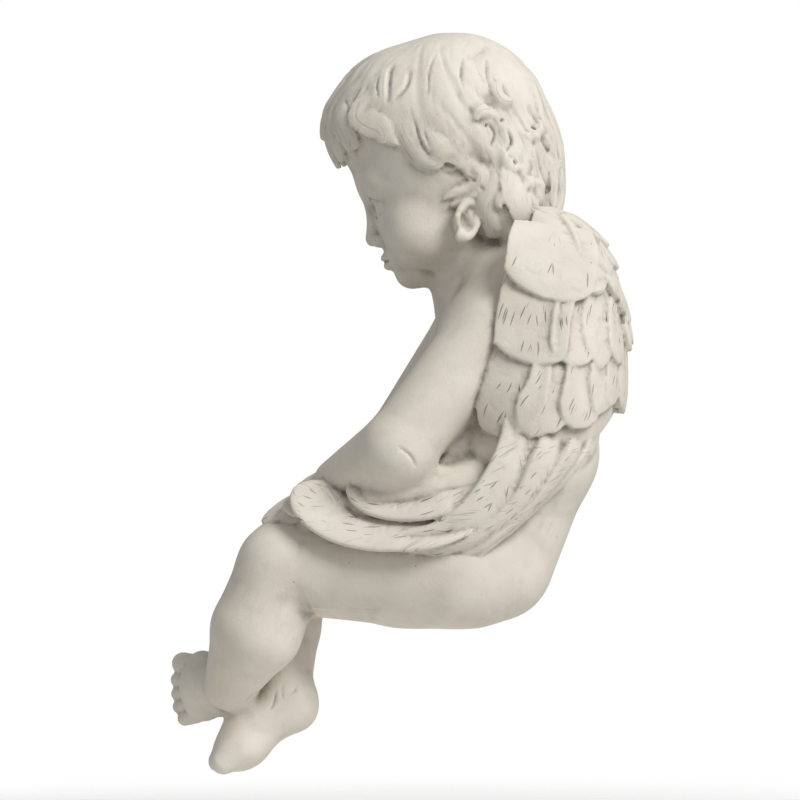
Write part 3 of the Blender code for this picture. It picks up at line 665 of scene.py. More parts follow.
# The feathers over the thigh: the quill as (x, y, z) and the half width.
LAP_FEATHERS = (
    (((67, 34, 93), (64, 12, 77), (59, -12, 68.5), (53, -34, 70), (47, -52, 78)), 14),
    (((34, -14, 66), (36, -42, 64), (32, -72, 66), (25, -98, 57)), 12),
    (((46, 8, 66), (47, -26, 64), (43, -56, 66), (36, -87, 67)), 14),
    (((67, 28, 74), (66, 0, 61), (60, -26, 56), (54, -47, 58.5), (47, -65, 67), (41, -81, 75.5)), 19.5),
)
LAP_NORMAL = np.array((0.72, -0.12, 0.68))  # which way they face on the left thigh
LONG_THICKNESS = 3.0
SWEPT_TILT, LAP_TILT = 9, 5  # degrees
SWEPT_ROOT_SUNK, SWEPT_TIP_SUNK, LAP_ROOT_SUNK = 5, 3, 8


def lay_long_feathers(paths, lap, side):
    """The swept feathers, from the lowest up, and those over the thigh. Their roots are sunk in the clay."""
    flip = np.array((side, 1, 1))
    edges = [smooth_path(edge, 44) for edge in SWEPT_EDGES]
    for upper, lower in reversed(list(zip(edges, edges[1:]))):
        centres = (upper + lower) / 2
        across = lower - upper
        tangents = np.gradient(centres, axis=0)
        normals = unit(np.cross(tangents, across))
        normals *= np.sign(normals[:, :1] + 1e-6)
        along = np.linspace(0, 1, 44)
        at_root, at_tip = np.clip(1 - along / 0.3, 0, 1), np.clip((along - 0.9) / 0.1, 0, 1)
        sunk = SWEPT_ROOT_SUNK * at_root + SWEPT_TIP_SUNK * at_tip
        centres = centres - normals * sunk[:, None]
        apart = np.linalg.norm(across, axis=1)
        half = 0.54 * apart.max()  # a little over half, so that each laps over the next
        narrowing = apart / apart.max()
        tilt = side * SWEPT_TILT
        paths.add(centres * flip, normals * flip, half, LONG_THICKNESS, 1, 0.92, tilt, narrowing=narrowing)
    for quill, wide in LAP_FEATHERS:
        centres = smooth_path(quill, 40) * flip
        normals = np.tile(LAP_NORMAL * flip, (40, 1))
        sunk = LAP_ROOT_SUNK * np.clip(1 - np.linspace(0, 1, 40) / 0.38, 0, 1)
        centres = centres - normals * sunk[:, None]
        lap.add(centres, normals, wide, LONG_THICKNESS, 0.3, 0.62, side * -LAP_TILT)


def wing_root(side):
    """The mass under the swept feathers, down the hip and over the thigh."""
    return [
        Ball((side * 54, 52, 190), (10, 13, 24), 5),  # closes the gap between the shoulder and the wing
        Ball((side * 24, 46, 96), (44, 36, 36), 7),  # below the spine of the wings
        Limb((side * 50, 22, 66), (side * 51, -14, 54), 16, 13, 6),  # down the hip
        Limb((side * 49, -10, 56), (side * 37, -68, 63), 14, 11, 5),  # along the thigh
        Limb((side * 50, 14, 76), (side * 47, -38, 68), 14, 11, 5),  # above that
    ]


QUILL_WIDTH, QUILL_HEIGHT = 1.1, 0.7
BARB_SPACING, BARB_DEPTH = 2.6, 0.35  # of the lines carved in a feather's vane, in shares
BARB_SLANT = 1.5  # how far back towards the root they run, against how far out


def carved_feathers(mesh):
    """The feather blades with a raised quill and shallow barb lines cut into the vane."""
    rim, flow, outward, spot = (read(mesh, name) for name in ("rim", "flow", "outward", "spot"))
    across = rim[:, 0] * flow[:, 1]
    front = np.clip(rim[:, 1] * 3, 0, 1) * np.clip((1 - np.abs(rim[:, 0])) / 0.25, 0, 1)
    quill = QUILL_HEIGHT * np.exp(-((across / QUILL_WIDTH) ** 2)) * (1 - spot**3)
    waver = 0.5 * np.sin(flow[:, 0] * 0.4 + flow[:, 2] * 30)
    phase = (flow[:, 0] - BARB_SLANT * np.abs(across)) / BARB_SPACING + waver
    strength = 0.35 + 0.65 * np.clip(np.sin(flow[:, 0] * 0.31 + across * 0.25 + flow[:, 2] * 50), 0, 1)
    line = np.clip(np.cos(2 * math.pi * phase), 0, 1) ** 2
    barbs = -BARB_DEPTH * line * strength * np.clip(np.abs(across) / 2, 0, 1)
    return read_points(mesh) + outward * ((quill + barbs) * front)[:, None]


covert_paths, long_paths, lap_paths = Paths(), Paths(), Paths()
for side in (LEFT, RIGHT):
    lay_coverts(covert_paths, side)
    lay_long_feathers(long_paths, lap_paths, side)
covert_mesh = swept_blades(covert_paths, "coverts", sides=34, flatness=0.75, underside=-4.0)
long_mesh = swept_blades(long_paths, "long_feathers", sides=34, flatness=0.5, underside=-2.5)
lap_mesh = swept_blades(lap_paths, "lap_feathers", sides=34, flatness=0.5)


# The hair. It is combed out from the crown as one smooth mass with shallow furrows, and breaks up at the
# hairline into waved and hooked locks. At the back it is short curls, opened with a drill.

HAIR_CENTRE = np.array((0, 4.0, 8.0))
HAIR_RADII = np.array((52.5, 57.5, 57.5))
CROWN = np.array((0.0, 0.42, 0.91))  # from the middle of the head to the whorl
# The hairline's height round the head, from the brow past the ear to the nape.
HAIRLINE_TURNS = (0, 30, 55, 75, 90, 105, 125, 180)
HAIRLINE_HEIGHTS = (20, 22, 21, 6, -18, -34, -46, -48)

# The locks of each side, as (y, z) from root to tip, with the half width and the height that they stand
# proud. They are drawn on the side of the head and then laid on it.
SIDE_LOCKS = (
    (((-42, 298), (-39, 278), (-32, 265), (-25, 258)), 8.0, 1.3),
    (((-26, 296), (-24, 272), (-16, 256), (-8, 250), (-1, 254), (5, 253), (12, 244)), 6.8, 2.3),
    (((-12, 296), (-10, 268), (-2, 258), (9, 249), (15, 238)), 7.5, 1.7),
    (((4, 292), (2, 266), (10, 252), (20, 243), (17, 236), (6, 233), (-2, 229)), 6.0, 2.2),
    (((24, 262), (26, 246), (18, 234), (8, 228), (2, 226)), 5.2, 2.2),
    (((16, 290), (24, 262), (30, 244), (22, 228), (24, 216), (33, 206), (40, 208)), 6.6, 2.2),
    (((30, 284), (38, 256), (36, 236), (40, 220), (48, 212)), 8.0, 1.6),
    (((40, 288), (52, 262), (50, 242), (54, 228), (62, 224)), 8.0, 1.6),
    (((48, 294), (60, 270), (62, 250), (66, 236), (70, 226)), 8.0, 1.6),
)
# The forelock, as (x, z) from root to tip, laid on the brow from in front.
BROW_LOCKS = (
    (((1, 312), (-2, 298), (3, 284), (-1, 274), (0, 264)), 6.0, 4.2),
    (((4, 314), (2, 298), (-3, 282), (-2, 266), (3, 250)), 8.0, 2.8),
    (((-6, 312), (-12, 296), (-10, 278), (-16, 262), (-12, 251)), 7.5, 3.0),
    (((10, 312), (16, 296), (12, 278), (16, 264), (10, 252)), 7.5, 3.0),
    (((18, 308), (26, 292), (24, 276), (29, 264), (26, 256)), 8.0, 1.6),
    (((-16, 308), (-25, 292), (-25, 276), (-31, 266), (-30, 257)), 8.0, 1.6),
    (((28, 304), (35, 288), (36, 274), (42, 266), (41, 259)), 8.0, 1.2),
    (((-28, 304), (-35, 288), (-37, 274), (-42, 268), (-43, 260)), 8.0, 1.2),
)
# Curls at the back of each side: the middle, as (y, z), and the radius.
CURLS = (
    ((20, 270), 7.5),
    ((34, 286), 8.0),
    ((46, 270), 7.5),
    ((36, 252), 7.0),
    ((56, 252), 7.0),
    ((48, 234), 6.5),
    ((64, 234), 5.5),
    ((32, 226), 6.0),
)
CURL_TURN = 3.1  # how far round a curl goes, in radians
CURL_WIDE, CURL_HEIGHT = 4.8, 3.2
NAPE_WIDE, NAPE_HEIGHT = 7.5, 3.2
# How deep the roots are sunk in the clay, and how much higher the tips lie.
LOCK_LIE, CURL_LIE, BROW_LIE, NAPE_LIE = (3.4, 3.9), (2.4, 2.2), (3.2, 4.4), (2.4, 3.2)
FORELOCK_FLICK, BROW_FLICK = 3.2, 1.0  # how far the ends turn out from the brow
BESIDE_HEAD, OUTSIDE = 70, 90  # where a path is drawn before it is laid on the clay
SIDE_DEPTH, BROW_DEPTH = 6, 20  # how near the middle it may come


def laid(drawn, axis, way, nearest, forms):
    """Lays a drawn path on the clay: it comes along one axis from outside, up to this near the middle."""
    for _ in range(14):
        drawn[:, axis] -= way * clay_distance(drawn, forms, [])
        drawn[:, axis] = np.where(way * drawn[:, axis] < nearest, way * nearest, drawn[:, axis])
    return drawn_to_clay(drawn, forms, [])


def proud(centres, forms, sunk, rise, flick=0.0):
    """The path with its root sunk in the clay and its tip risen or flicked out, and the way out."""
    normals = unit(clay_slope(centres, forms, []))
    along = np.linspace(0, 1, len(centres))
    off = rise * np.clip(along / 0.6, 0, 1) + flick * along**4 - sunk
    return centres + normals * off[:, None], normals


def lay_locks(paths, forms):
    """The drawn locks and curls of both sides, the right ones a little out of true, and the forelock."""
    for side in (LEFT, RIGHT):
        for i, (knots, wide, height) in enumerate(SIDE_LOCKS):
            sway = 0 if side == LEFT else 1.5
            drawn = [
                (side * BESIDE_HEAD, y + sway * math.sin(2.2 * i + k), z + sway * math.cos(1.4 * k))
                for k, (y, z) in enumerate(knots)
            ]
            path = laid(smooth_path(drawn, 40), 0, side, SIDE_DEPTH, forms)
            centres, normals = proud(path, forms, *LOCK_LIE)
            paths.add(centres, normals, wide, height, 0.35, 0.45, side * 10, pointed=0.7)
        for i, ((y, z), radius) in enumerate(CURLS):
            turn = np.linspace(0, 1, 44) * CURL_TURN * (-1) ** (i // 3) + 1.9 * i
            reach = radius * (1 - 0.5 * np.linspace(0, 1, 44))
            beside = np.full(len(turn), float(side * BESIDE_HEAD))
            drawn = np.stack([beside, y + reach * np.cos(turn), z + reach * np.sin(turn)], axis=1)
            centres, normals = proud(laid(drawn, 0, side, SIDE_DEPTH, forms), forms, *CURL_LIE)
            paths.add(centres, normals, CURL_WIDE, CURL_HEIGHT, 0.3, 0.35, 8)
    for knots, wide, height in BROW_LOCKS:
        drawn = smooth_path([(x, -OUTSIDE, z) for x, z in knots], 40)
        tip_x = knots[-1][0]
        flick = FORELOCK_FLICK if abs(tip_x) < 5 else BROW_FLICK
        centres, normals = proud(laid(drawn, 1, -1, BROW_DEPTH, forms), forms, *BROW_LIE, flick)
        paths.add(centres, normals, wide, height, 0.4, 0.5, 10 if tip_x > 0 else -10)


def hairline_ray(turn):
    """From the middle of the head to the hairline: turn is in degrees from the brow."""
    away = abs((turn + 180) % 360 - 180)
    height = (np.interp(away, HAIRLINE_TURNS, HAIRLINE_HEIGHTS) - HAIR_CENTRE[2]) / HAIR_RADII[2]
    wide = math.sqrt(1 - min(height**2, 0.98))
    return np.array((math.sin(math.radians(turn)) * wide, -math.cos(math.radians(turn)) * wide, height))


NAPE_TURNS, NAPE_LOCKS = (126, 234), 11  # in degrees from the brow


def lay_nape_locks(paths, forms):
    """A row of wavy locks down the back of the head, every other one from higher up."""
    turned = np.array(HEAD.to_3x3())
    along = np.linspace(0, 1, 30)
    for i, turn in enumerate(np.linspace(*NAPE_TURNS, NAPE_LOCKS)):
        start = 0.35 + 0.25 * (i % 2)
        share = start + (1.02 + 0.05 * math.sin(3.3 * i) - start) * along
        swing = (-1) ** i * (0.14 + 0.05 * math.sin(1.9 * i))
        ray = unit(CROWN + np.outer(share, hairline_ray(turn) - CROWN))
        aside = unit(np.cross(ray, hairline_ray(turn) - CROWN))
        ray = unit(ray + aside * (swing * np.sin(along * 4.6) * along)[:, None])
        centres = (HAIR_CENTRE + ray * HAIR_RADII) @ turned.T + np.array(HEAD.translation)
        centres, normals = proud(drawn_to_clay(centres, forms, []), forms, *NAPE_LIE)
        paths.add(centres, normals, NAPE_WIDE, NAPE_HEIGHT, 0.35, 0.4, 10 * (-1) ** i)


lock_paths = Paths()
scalp = [*face(), *hair_mass()]
lay_locks(lock_paths, scalp)
lay_nape_locks(lock_paths, scalp)
lock_mesh = swept_blades(lock_paths, "locks", sides=26, flatness=1.7)


FURROWS, STRANDS = 13, 58  # how many run down from the crown, round the whole head
FURROW_DEPTH, STRAND_DEPTH, WAVE_DEPTH = 0.8, 0.3, 1.1
COMBED_FROM, COMBED_TO = 0.12, 0.62  # radians down from the crown, between which the combing comes in
CLEAR_OF_EAR, EAR_FADE = 13, 4  # how far from the ear's middle it ends, and over how much


def combed(points, normals):
    """Furrows that run down from the crown: broad ones between locks and finer ones within them."""
    local = (points - np.array(HEAD.translation)) @ np.array(HEAD.to_3x3())
    ray = unit((local - HAIR_CENTRE) / HAIR_RADII)
    crown = CROWN / np.linalg.norm(CROWN)
    ahead = unit(np.array((0, -1, 0)) + crown[1] * crown)
    aside = np.cross(ahead, crown)
    down = np.arccos(np.clip(ray @ crown, -1, 1))
    turn = np.arctan2(ray @ aside, ray @ ahead)
    turn = turn + 0.16 * np.sin(3.1 * down + 2 * turn) * down + 0.05 * np.sin(9 * down + 5 * turn)
    face_turn = np.degrees(np.abs(np.arctan2(local[:, 0], -local[:, 1])))
    edge = np.interp(face_turn, HAIRLINE_TURNS, HAIRLINE_HEIGHTS)
    off_crown = np.clip((down - COMBED_FROM) / (COMBED_TO - COMBED_FROM), 0, 1)
    hair = np.clip((local[:, 2] - edge + 2) / 6, 0, 1) * off_crown
    drift = np.sin(2.3 * turn + 4 * down) + np.sin(5.1 * turn - 3 * down + 1)
    broad = np.clip(np.cos(FURROWS * turn + 1.1 * np.sin(4 * down + 3 * turn)), 0, 1) ** 3
    patchy = np.clip(0.35 + 0.6 * np.sin(6 * down + 11 * turn) + 0.25 * drift, 0, 1)
    fine = np.clip(np.cos(STRANDS * turn + 1.5 * np.sin(5 * down + 9 * turn)), 0, 1) ** 2
    patchy_fine = np.clip(0.15 + 0.6 * np.sin(9 * down + 23 * turn + drift), 0, 1)
    depth = FURROW_DEPTH * broad * patchy + STRAND_DEPTH * fine * patchy_fine
    # Tousled low down and at the back: soft waves about 27 mm long across the locks.
    waved = np.sin(12 * turn + 2.2 * np.sin(5 * down)) * np.sin(11 * down + 2.4 * np.sin(5 * turn + 1))
    tousled = np.clip((44 - local[:, 2] + 0.5 * local[:, 1]) / 30, 0, 1) * np.clip(0.7 + 0.5 * drift, 0.2, 1)
    depth = depth + WAVE_DEPTH * np.clip(0.4 - waved, 0, 1.4) * tousled
    from_ear = np.column_stack([np.abs(local[:, 0]), local[:, 1:]]) - np.array(EAR_PLACE)
    off_ear = np.clip((np.linalg.norm(from_ear, axis=1) - CLEAR_OF_EAR) / EAR_FADE, 0, 1)
    return points - normals * (depth * hair * off_ear)[:, None]


# Cuts made with a small gouge, drawn on the side view as (y, z), with the width and the depth: the
# furrows of the hair, the drilled curls, and the fold of the elbow.
SIDE_CUTS = (
    (((-28, 301), (-30, 297), (-31, 282)), 2.6, 1.8),
    (((-19, 298), (-21, 290), (-26, 283)), 2.4, 1.6),
    (((-6, 306), (-9, 297), (-9.5, 285)), 1.4, 0.9),
    (((9, 304), (8, 296), (9, 289)), 1.6, 1.0),
    (((22, 304), (22, 295), (24, 285)), 1.8, 1.0),
    (((-53, 290), (-53, 282), (-50, 272)), 1.6, 0.8),
    (((-36, 295), (-37, 290), (-36, 284)), 1.4, 0.8),
    (((-17, 271), (-14, 261), (-9, 253)), 1.5, 1.0),
    (((-13, 268), (-9, 258), (-6, 254)), 1.2, 0.8),
    (((23, 269), (26, 264), (24, 258)), 1.6, 1.8),
    (((33, 266), (35, 260), (32, 255)), 1.6, 1.8),
    (((12, 241), (17, 238), (20, 234)), 1.3, 1.0),
)
# The holes drilled in the curls, with half the width at the mouth.
HOLES = (((22, 268), 0.9), ((30, 271), 0.8), ((47, 268), 0.9), ((37, 249), 0.8), ((34, 224), 0.9))
HOLE_REACH, HOLE_DEPTH = 2.2, 2.6  # against that
ELBOW_FOLD = (((-24.5, 98), (-19, 93.5), (-16, 88)), 1.6, 1.1)
ANKLE_CUTS = (
    (((-100.5, -34), (-104, -36), (-106.5, -39)), 1.2, 0.8),
    (((-91, -34), (-92, -39), (-93.5, -43.5)), 1.2, 0.8),
    (((-79.5, -31.5), (-81, -34), (-83.5, -36)), 1.1, 0.7),
    (((-87, -30), (-88, -34), (-87, -38)), 1.0, 0.6),
)
# The lid's edge, the fold above it, and the line of the lips, in the head's own axes.
FACE_CUTS = (
    (((8.6, -46.0, -13.2), (16.5, -48.6, -15.2), (25.0, -44.2, -13.0)), 1.5, 0.9),
    (((9.6, -46.4, -6.6), (16.5, -47.6, -4.0), (25.0, -43.4, -7.0)), 1.5, 0.6),
    (((0, -52.6, -38.0), (4.2, -51.0, -38.2), (9.0, -47.2, -38.0)), 1.5, 1.1),
)


def cut(points, path, width, depth):
    """How deep a gouge has gone at each point: deepest along the path, and nothing a width away."""
    path = smooth_path(path, 40) if len(path) > 1 else np.array(path, float)
    middle = path.mean(axis=0)
    reach = np.linalg.norm(path - middle, axis=1).max() + width
    near = np.flatnonzero(np.linalg.norm(points - middle, axis=1) < reach)
    gone = np.zeros(len(points))
    if len(near):
        apart = np.linalg.norm(points[near][:, None] - path[None], axis=2)
        closest = apart.argmin(axis=1)
        fade = np.sin(np.linspace(0.12, math.pi - 0.12, len(path))) ** 0.5 if len(path) > 1 else np.ones(1)
        share = np.clip(1 - apart[np.arange(len(near)), closest] / width, 0, 1)
        gone[near] = depth * fade[closest] * share**2 * (3 - 2 * share)
    return gone


def gouged(points, normals, forms):
    """The skin with all the cuts made in it."""
    gone = np.zeros(len(points))
    for side in (LEFT, RIGHT):
        for knots, width, depth in (*SIDE_CUTS, ELBOW_FOLD, *ANKLE_CUTS):
            drawn = smooth_path([(side * OUTSIDE, y, z) for y, z in knots], 24)
            path = laid(drawn, 0, side, SIDE_DEPTH, forms)
            # The locks stand on the clay, so the path is moved out to the skin.
            outside = points[np.linalg.norm(points[:, None] - path[None, ::8], axis=2).argmin(axis=0)]
            path = path + (outside - path[::8]).mean(axis=0) * np.array((1, 0, 0))
            gone = np.maximum(gone, cut(points, path, width, depth))
        for (y, z), width in HOLES:
            spot = laid(np.array([(side * OUTSIDE, y, z)], float), 0, side, SIDE_DEPTH, forms)
            gone = np.maximum(gone, cut(points, spot, HOLE_REACH * width, HOLE_DEPTH * width))
    for path, width, depth in FACE_CUTS:
        for side in (LEFT, RIGHT):
            knots = [tuple(HEAD @ Vector((side * x, y, z))) for x, y, z in path]
            gone = np.maximum(gone, cut(points, knots, width, depth))
    return points - normals * gone[:, None]


# The casting. Body, head, locks and feathers leave the mould as one piece of filled resin, with every
# joint closed, soft edges and a flat underneath that the figure sits on.

SKIN_VOXEL = 1.3
CAST_VOXEL = 0.8  # both in shares
KEPT_TRIANGLES = 190000
SLIVER = 2e-6  # no edge is shorter, in metres
LEDGE_REACH = 0.058  # how far before and behind the origin the underside is kept flat or higher
SEAT_ROUNDING = 0.0010  # how softly the flat runs out into the round of the thighs, in metres


def skin_mesh(forms, hollows):
    """The blended body, head and hair mass as one closed mesh, in shares."""
    lumps = bmesh.new()
    for form in forms:
        piece = form.solid()
        data = bpy.data.meshes.new("lump")
        piece.to_mesh(data)
        piece.free()
        lumps.from_mesh(data)
        bpy.data.meshes.remove(data)
    data = bpy.data.meshes.new("lumps")
    lumps.to_mesh(data)
    lumps.free()
    mesh = remeshed(data, SKIN_VOXEL)
    return drawn_to_clay(read_points(mesh), forms, hollows), mesh


def remeshed(data, voxel, smooth=0):
    """One closed skin over everything in the mesh."""
    made = add_object("rough", data)
    remesh = made.modifiers.new("one_skin", "REMESH")
    remesh.mode = "VOXEL"
    remesh.voxel_size = voxel
    if smooth:
        soften = made.modifiers.new("worn_edges", "SMOOTH")
        soften.factor = 0.4
        soften.iterations = smooth
    mesh = evaluated(made)
    bpy.data.objects.remove(made)
    return mesh


def thinned(data, kept):
    """The mesh with about this many triangles, most of them where the form is fine."""
    made = add_object("rough", data)
    fewer = made.modifiers.new("fewer", "DECIMATE")
    fewer.ratio = kept / sum(len(face.vertices) - 2 for face in data.polygons)
    mesh = evaluated(made)
    bpy.data.objects.remove(made)
    return mesh


def without_slivers(data):
    """The mesh with its faces of no area closed up, and without the crumbs that thinning leaves loose."""
    skin = bmesh.new()
    skin.from_mesh(data)
    bmesh.ops.dissolve_degenerate(skin, dist=SLIVER, edges=skin.edges[:])
    unseen, largest = set(skin.faces), []
    while unseen:
        island, following = [], [unseen.pop()]
        while following:
            face = following.pop()
            island.append(face)
            beside = {other for edge in face.edges for other in edge.link_faces} & unseen
            unseen -= beside
            following.extend(beside)
        largest = max(largest, island, key=len)
    kept = set(largest)
    bmesh.ops.delete(skin, geom=[face for face in skin.faces if face not in kept], context="FACES")
    bmesh.ops.triangulate(skin, faces=skin.faces[:])
    skin.to_mesh(data)
    skin.free()
    return data


def corners(mesh):
    """The corner list and the corner counts of a mesh's faces."""
    corner = np.empty(len(mesh.loops), np.int32)
    mesh.loops.foreach_get("vertex_index", corner)
    total = np.empty(len(mesh.polygons), np.int32)
    mesh.polygons.foreach_get("loop_total", total)
    return corner, total


def gathered(parts):
    """One loose mesh from (points, corners, counts, flow, place) of each part, scaled to metres."""
    points = np.vstack([part[0] for part in parts]) * SHARE
    first = np.cumsum([0] + [len(part[0]) for part in parts[:-1]])
    corner = np.concatenate([part[1] + start for part, start in zip(parts, first)]).astype(np.int32)
    total = np.concatenate([part[2] for part in parts]).astype(np.int32)
    mesh = bpy.data.meshes.new("gathered")
    mesh.vertices.add(len(points))
    mesh.loops.add(len(corner))
    mesh.polygons.add(len(total))
    write_points(mesh, points)
    mesh.loops.foreach_set("vertex_index", corner)
    mesh.polygons.foreach_set("loop_start", (np.cumsum(total) - total).astype(np.int32))
    for name, column in (("flow", 3), ("place", 4)):
        store(mesh, name, np.vstack([part[column] for part in parts]))
    mesh.update(calc_edges=True)
    mesh.validate()
    return mesh


def blade_part(mesh, points, kind):
    rim, flow, spot = (read(mesh, name) for name in ("rim", "flow", "spot"))
    flow[:, 1] *= rim[:, 0]
    place = np.stack([spot, np.abs(rim[:, 0]), np.full(len(spot), kind)], axis=1)
    return (points, *corners(mesh), flow, place)


def plain_part(points, corner, total):
    nothing = np.zeros((len(points), 3))
    return (points, corner, total, nothing, nothing)


def taking_tree():
    """Copies the way of the strands and barbs from the loose clay to the casting."""
    tree = bpy.data.node_groups.new("take_lines", "GeometryNodeTree")
    tree.interface.new_socket(name="Casting", in_out="INPUT", socket_type="NodeSocketGeometry")
    clay = tree.interface.new_socket(name="Clay", in_out="INPUT", socket_type="NodeSocketObject")
    tree.interface.new_socket(name="Casting", in_out="OUTPUT", socket_type="NodeSocketGeometry")
    given = tree.nodes.new("NodeGroupInput").outputs
    info = add_node(tree, "GeometryNodeObjectInfo", {"Object": given["Clay"]})
    stage = given["Casting"]
    for name in ("flow", "place"):
        value = add_node(tree, "GeometryNodeInputNamedAttribute", {"Name": name}, data_type="FLOAT_VECTOR")
        sample = add_node(
            tree,
            "GeometryNodeSampleNearestSurface",
            {"Mesh": info.outputs["Geometry"], "Value": value.outputs["Attribute"]},
            data_type="FLOAT_VECTOR",
        )
        stored = add_node(
            tree,
            "GeometryNodeStoreNamedAttribute",
            {"Geometry": stage, "Name": name, "Value": sample.outputs["Value"]},
            data_type="FLOAT_VECTOR",
        )
        stage = stored.outputs[0]
    out = tree.nodes.new("NodeGroupOutput")
    tree.links.new(stage, out.inputs["Casting"])
    return tree, clay.identifier


skin_forms = [*trunk(), *both(leg), *face(), *hair_mass(), *both(wing_root)]
skin_forms += [form for side in (LEFT, RIGHT) for make in (arm, hand, foot, ear) for form in make(side)]
skin_points, skin = skin_mesh(skin_forms, face_hollows())
parts = [plain_part(skin_points, *corners(skin))]
for side in (LEFT, RIGHT):
    points, faces = shell(side)
    parts.append(plain_part(points, faces.ravel(), np.full(len(faces), 4)))
for mesh, kind in ((covert_mesh, COVERT), (long_mesh, LONG_FEATHER), (lap_mesh, LONG_FEATHER)):
    parts.append(blade_part(mesh, carved_feathers(mesh), kind))
parts.append(blade_part(lock_mesh, read_points(lock_mesh), HAIR))
clay_mesh = gathered(parts)
clay_object = add_object("clay", clay_mesh)
cast = remeshed(clay_mesh.copy(), CAST_VOXEL * SHARE, smooth=3)
normals = read_points(cast, "normal")
points = combed(read_points(cast) / SHARE, normals)
write_points(cast, gouged(points, normals, skin_forms) * SHARE)
cast.update()
cast = without_slivers(thinned(cast, KEPT_TRIANGLES))

points = read_points(cast)
under = np.abs(points[:, 1]) < LEDGE_REACH
depth = points[under, 2]
points[under, 2] = (depth + np.sqrt(depth**2 + 4 * SEAT_ROUNDING**2)) / 2
low, high = np.array(cad_box[0]), np.array(cad_box[1])
write_points(cast, np.clip(points, low, high))

angel = add_object("cast_angel", cast)
taking = angel.modifiers.new("take_lines", "NODES")
taking.node_group, clay_input = taking_tree()
taking[clay_input] = clay_object
dressed = evaluated(angel)
angel.modifiers.clear()
angel.data = dressed
bpy.data.objects.remove(clay_object)
dressed.polygons.foreach_set("use_smooth", np.ones(len(dressed.polygons), bool))


# Where the wash and the painted shade gather, over rounds of smoothing: after how many, how much it counts, and
# the depths in mm at which it begins and is full. They feel about 1 mm, 3 mm and 6 mm round each point: the fine
# ones paint the wash and the shade of the creases, the broad one paints shade into the deep hollows.
SHADE_AND_WASH_ROUNDS = ((3, 0.75, 0, 0.5), (14, 0.4, 0, 1.8), (70, 0.6, 1.6, 6.0))


def hollow_shade_and_wash(mesh):
    """How far each point lies below the surface round it, from 0 to 1: how much painted shade and wash it gets.
    """
    count = len(mesh.vertices)
    place, normal = read_points(mesh), read_points(mesh, "normal")
    edges = np.empty(len(mesh.edges) * 2, np.int32)
    mesh.edges.foreach_get("vertices", edges)
    edges = edges.reshape(-1, 2)
    ends = np.concatenate([edges[:, 0], edges[:, 1]])
    others = np.concatenate([edges[:, 1], edges[:, 0]])
    around = np.maximum(np.bincount(ends, minlength=count), 1)
    smooth, done = place.copy(), 0
    wash = np.zeros(count)
    for rounds, counts, shallow, deep in SHADE_AND_WASH_ROUNDS:
        for _ in range(rounds - done):
            for axis in range(3):
                smooth[:, axis] = np.bincount(ends, weights=smooth[others, axis], minlength=count) / around
        done = rounds
        depth = ((smooth - place) * normal).sum(1) * 1000
        wash += counts * np.clip((depth - shallow) / (deep - shallow), 0, 1)
    return np.clip(wash, 0, 1)


# Painted shade: points lying below their surroundings are painted darker, as wash in the cuts and shade in the
# hollows.
store(dressed, "wash", hollow_shade_and_wash(dressed))


# The finish. Filled resin cast in a rubber mould, left matt: pale ivory with lighter clouds and greyer blots, a
# thin grey-brown wash rubbed into the cuts, painted shade in the creases and hollows, and small pores and
# scratches from the mould.


def linear(hex_colour):
    """A colour picked as sRGB hex, as the shader wants it."""
    parts = [int(hex_colour[i : i + 2], 16) / 255 for i in (0, 2, 4)]
    return tuple(p / 12.92 if p <= 0.04045 else ((p + 0.055) / 1.055) ** 2.4 for p in parts) + (1.0,)


SLIT_FAN = 0.22  # how far out from the quill the slits run, against how far along


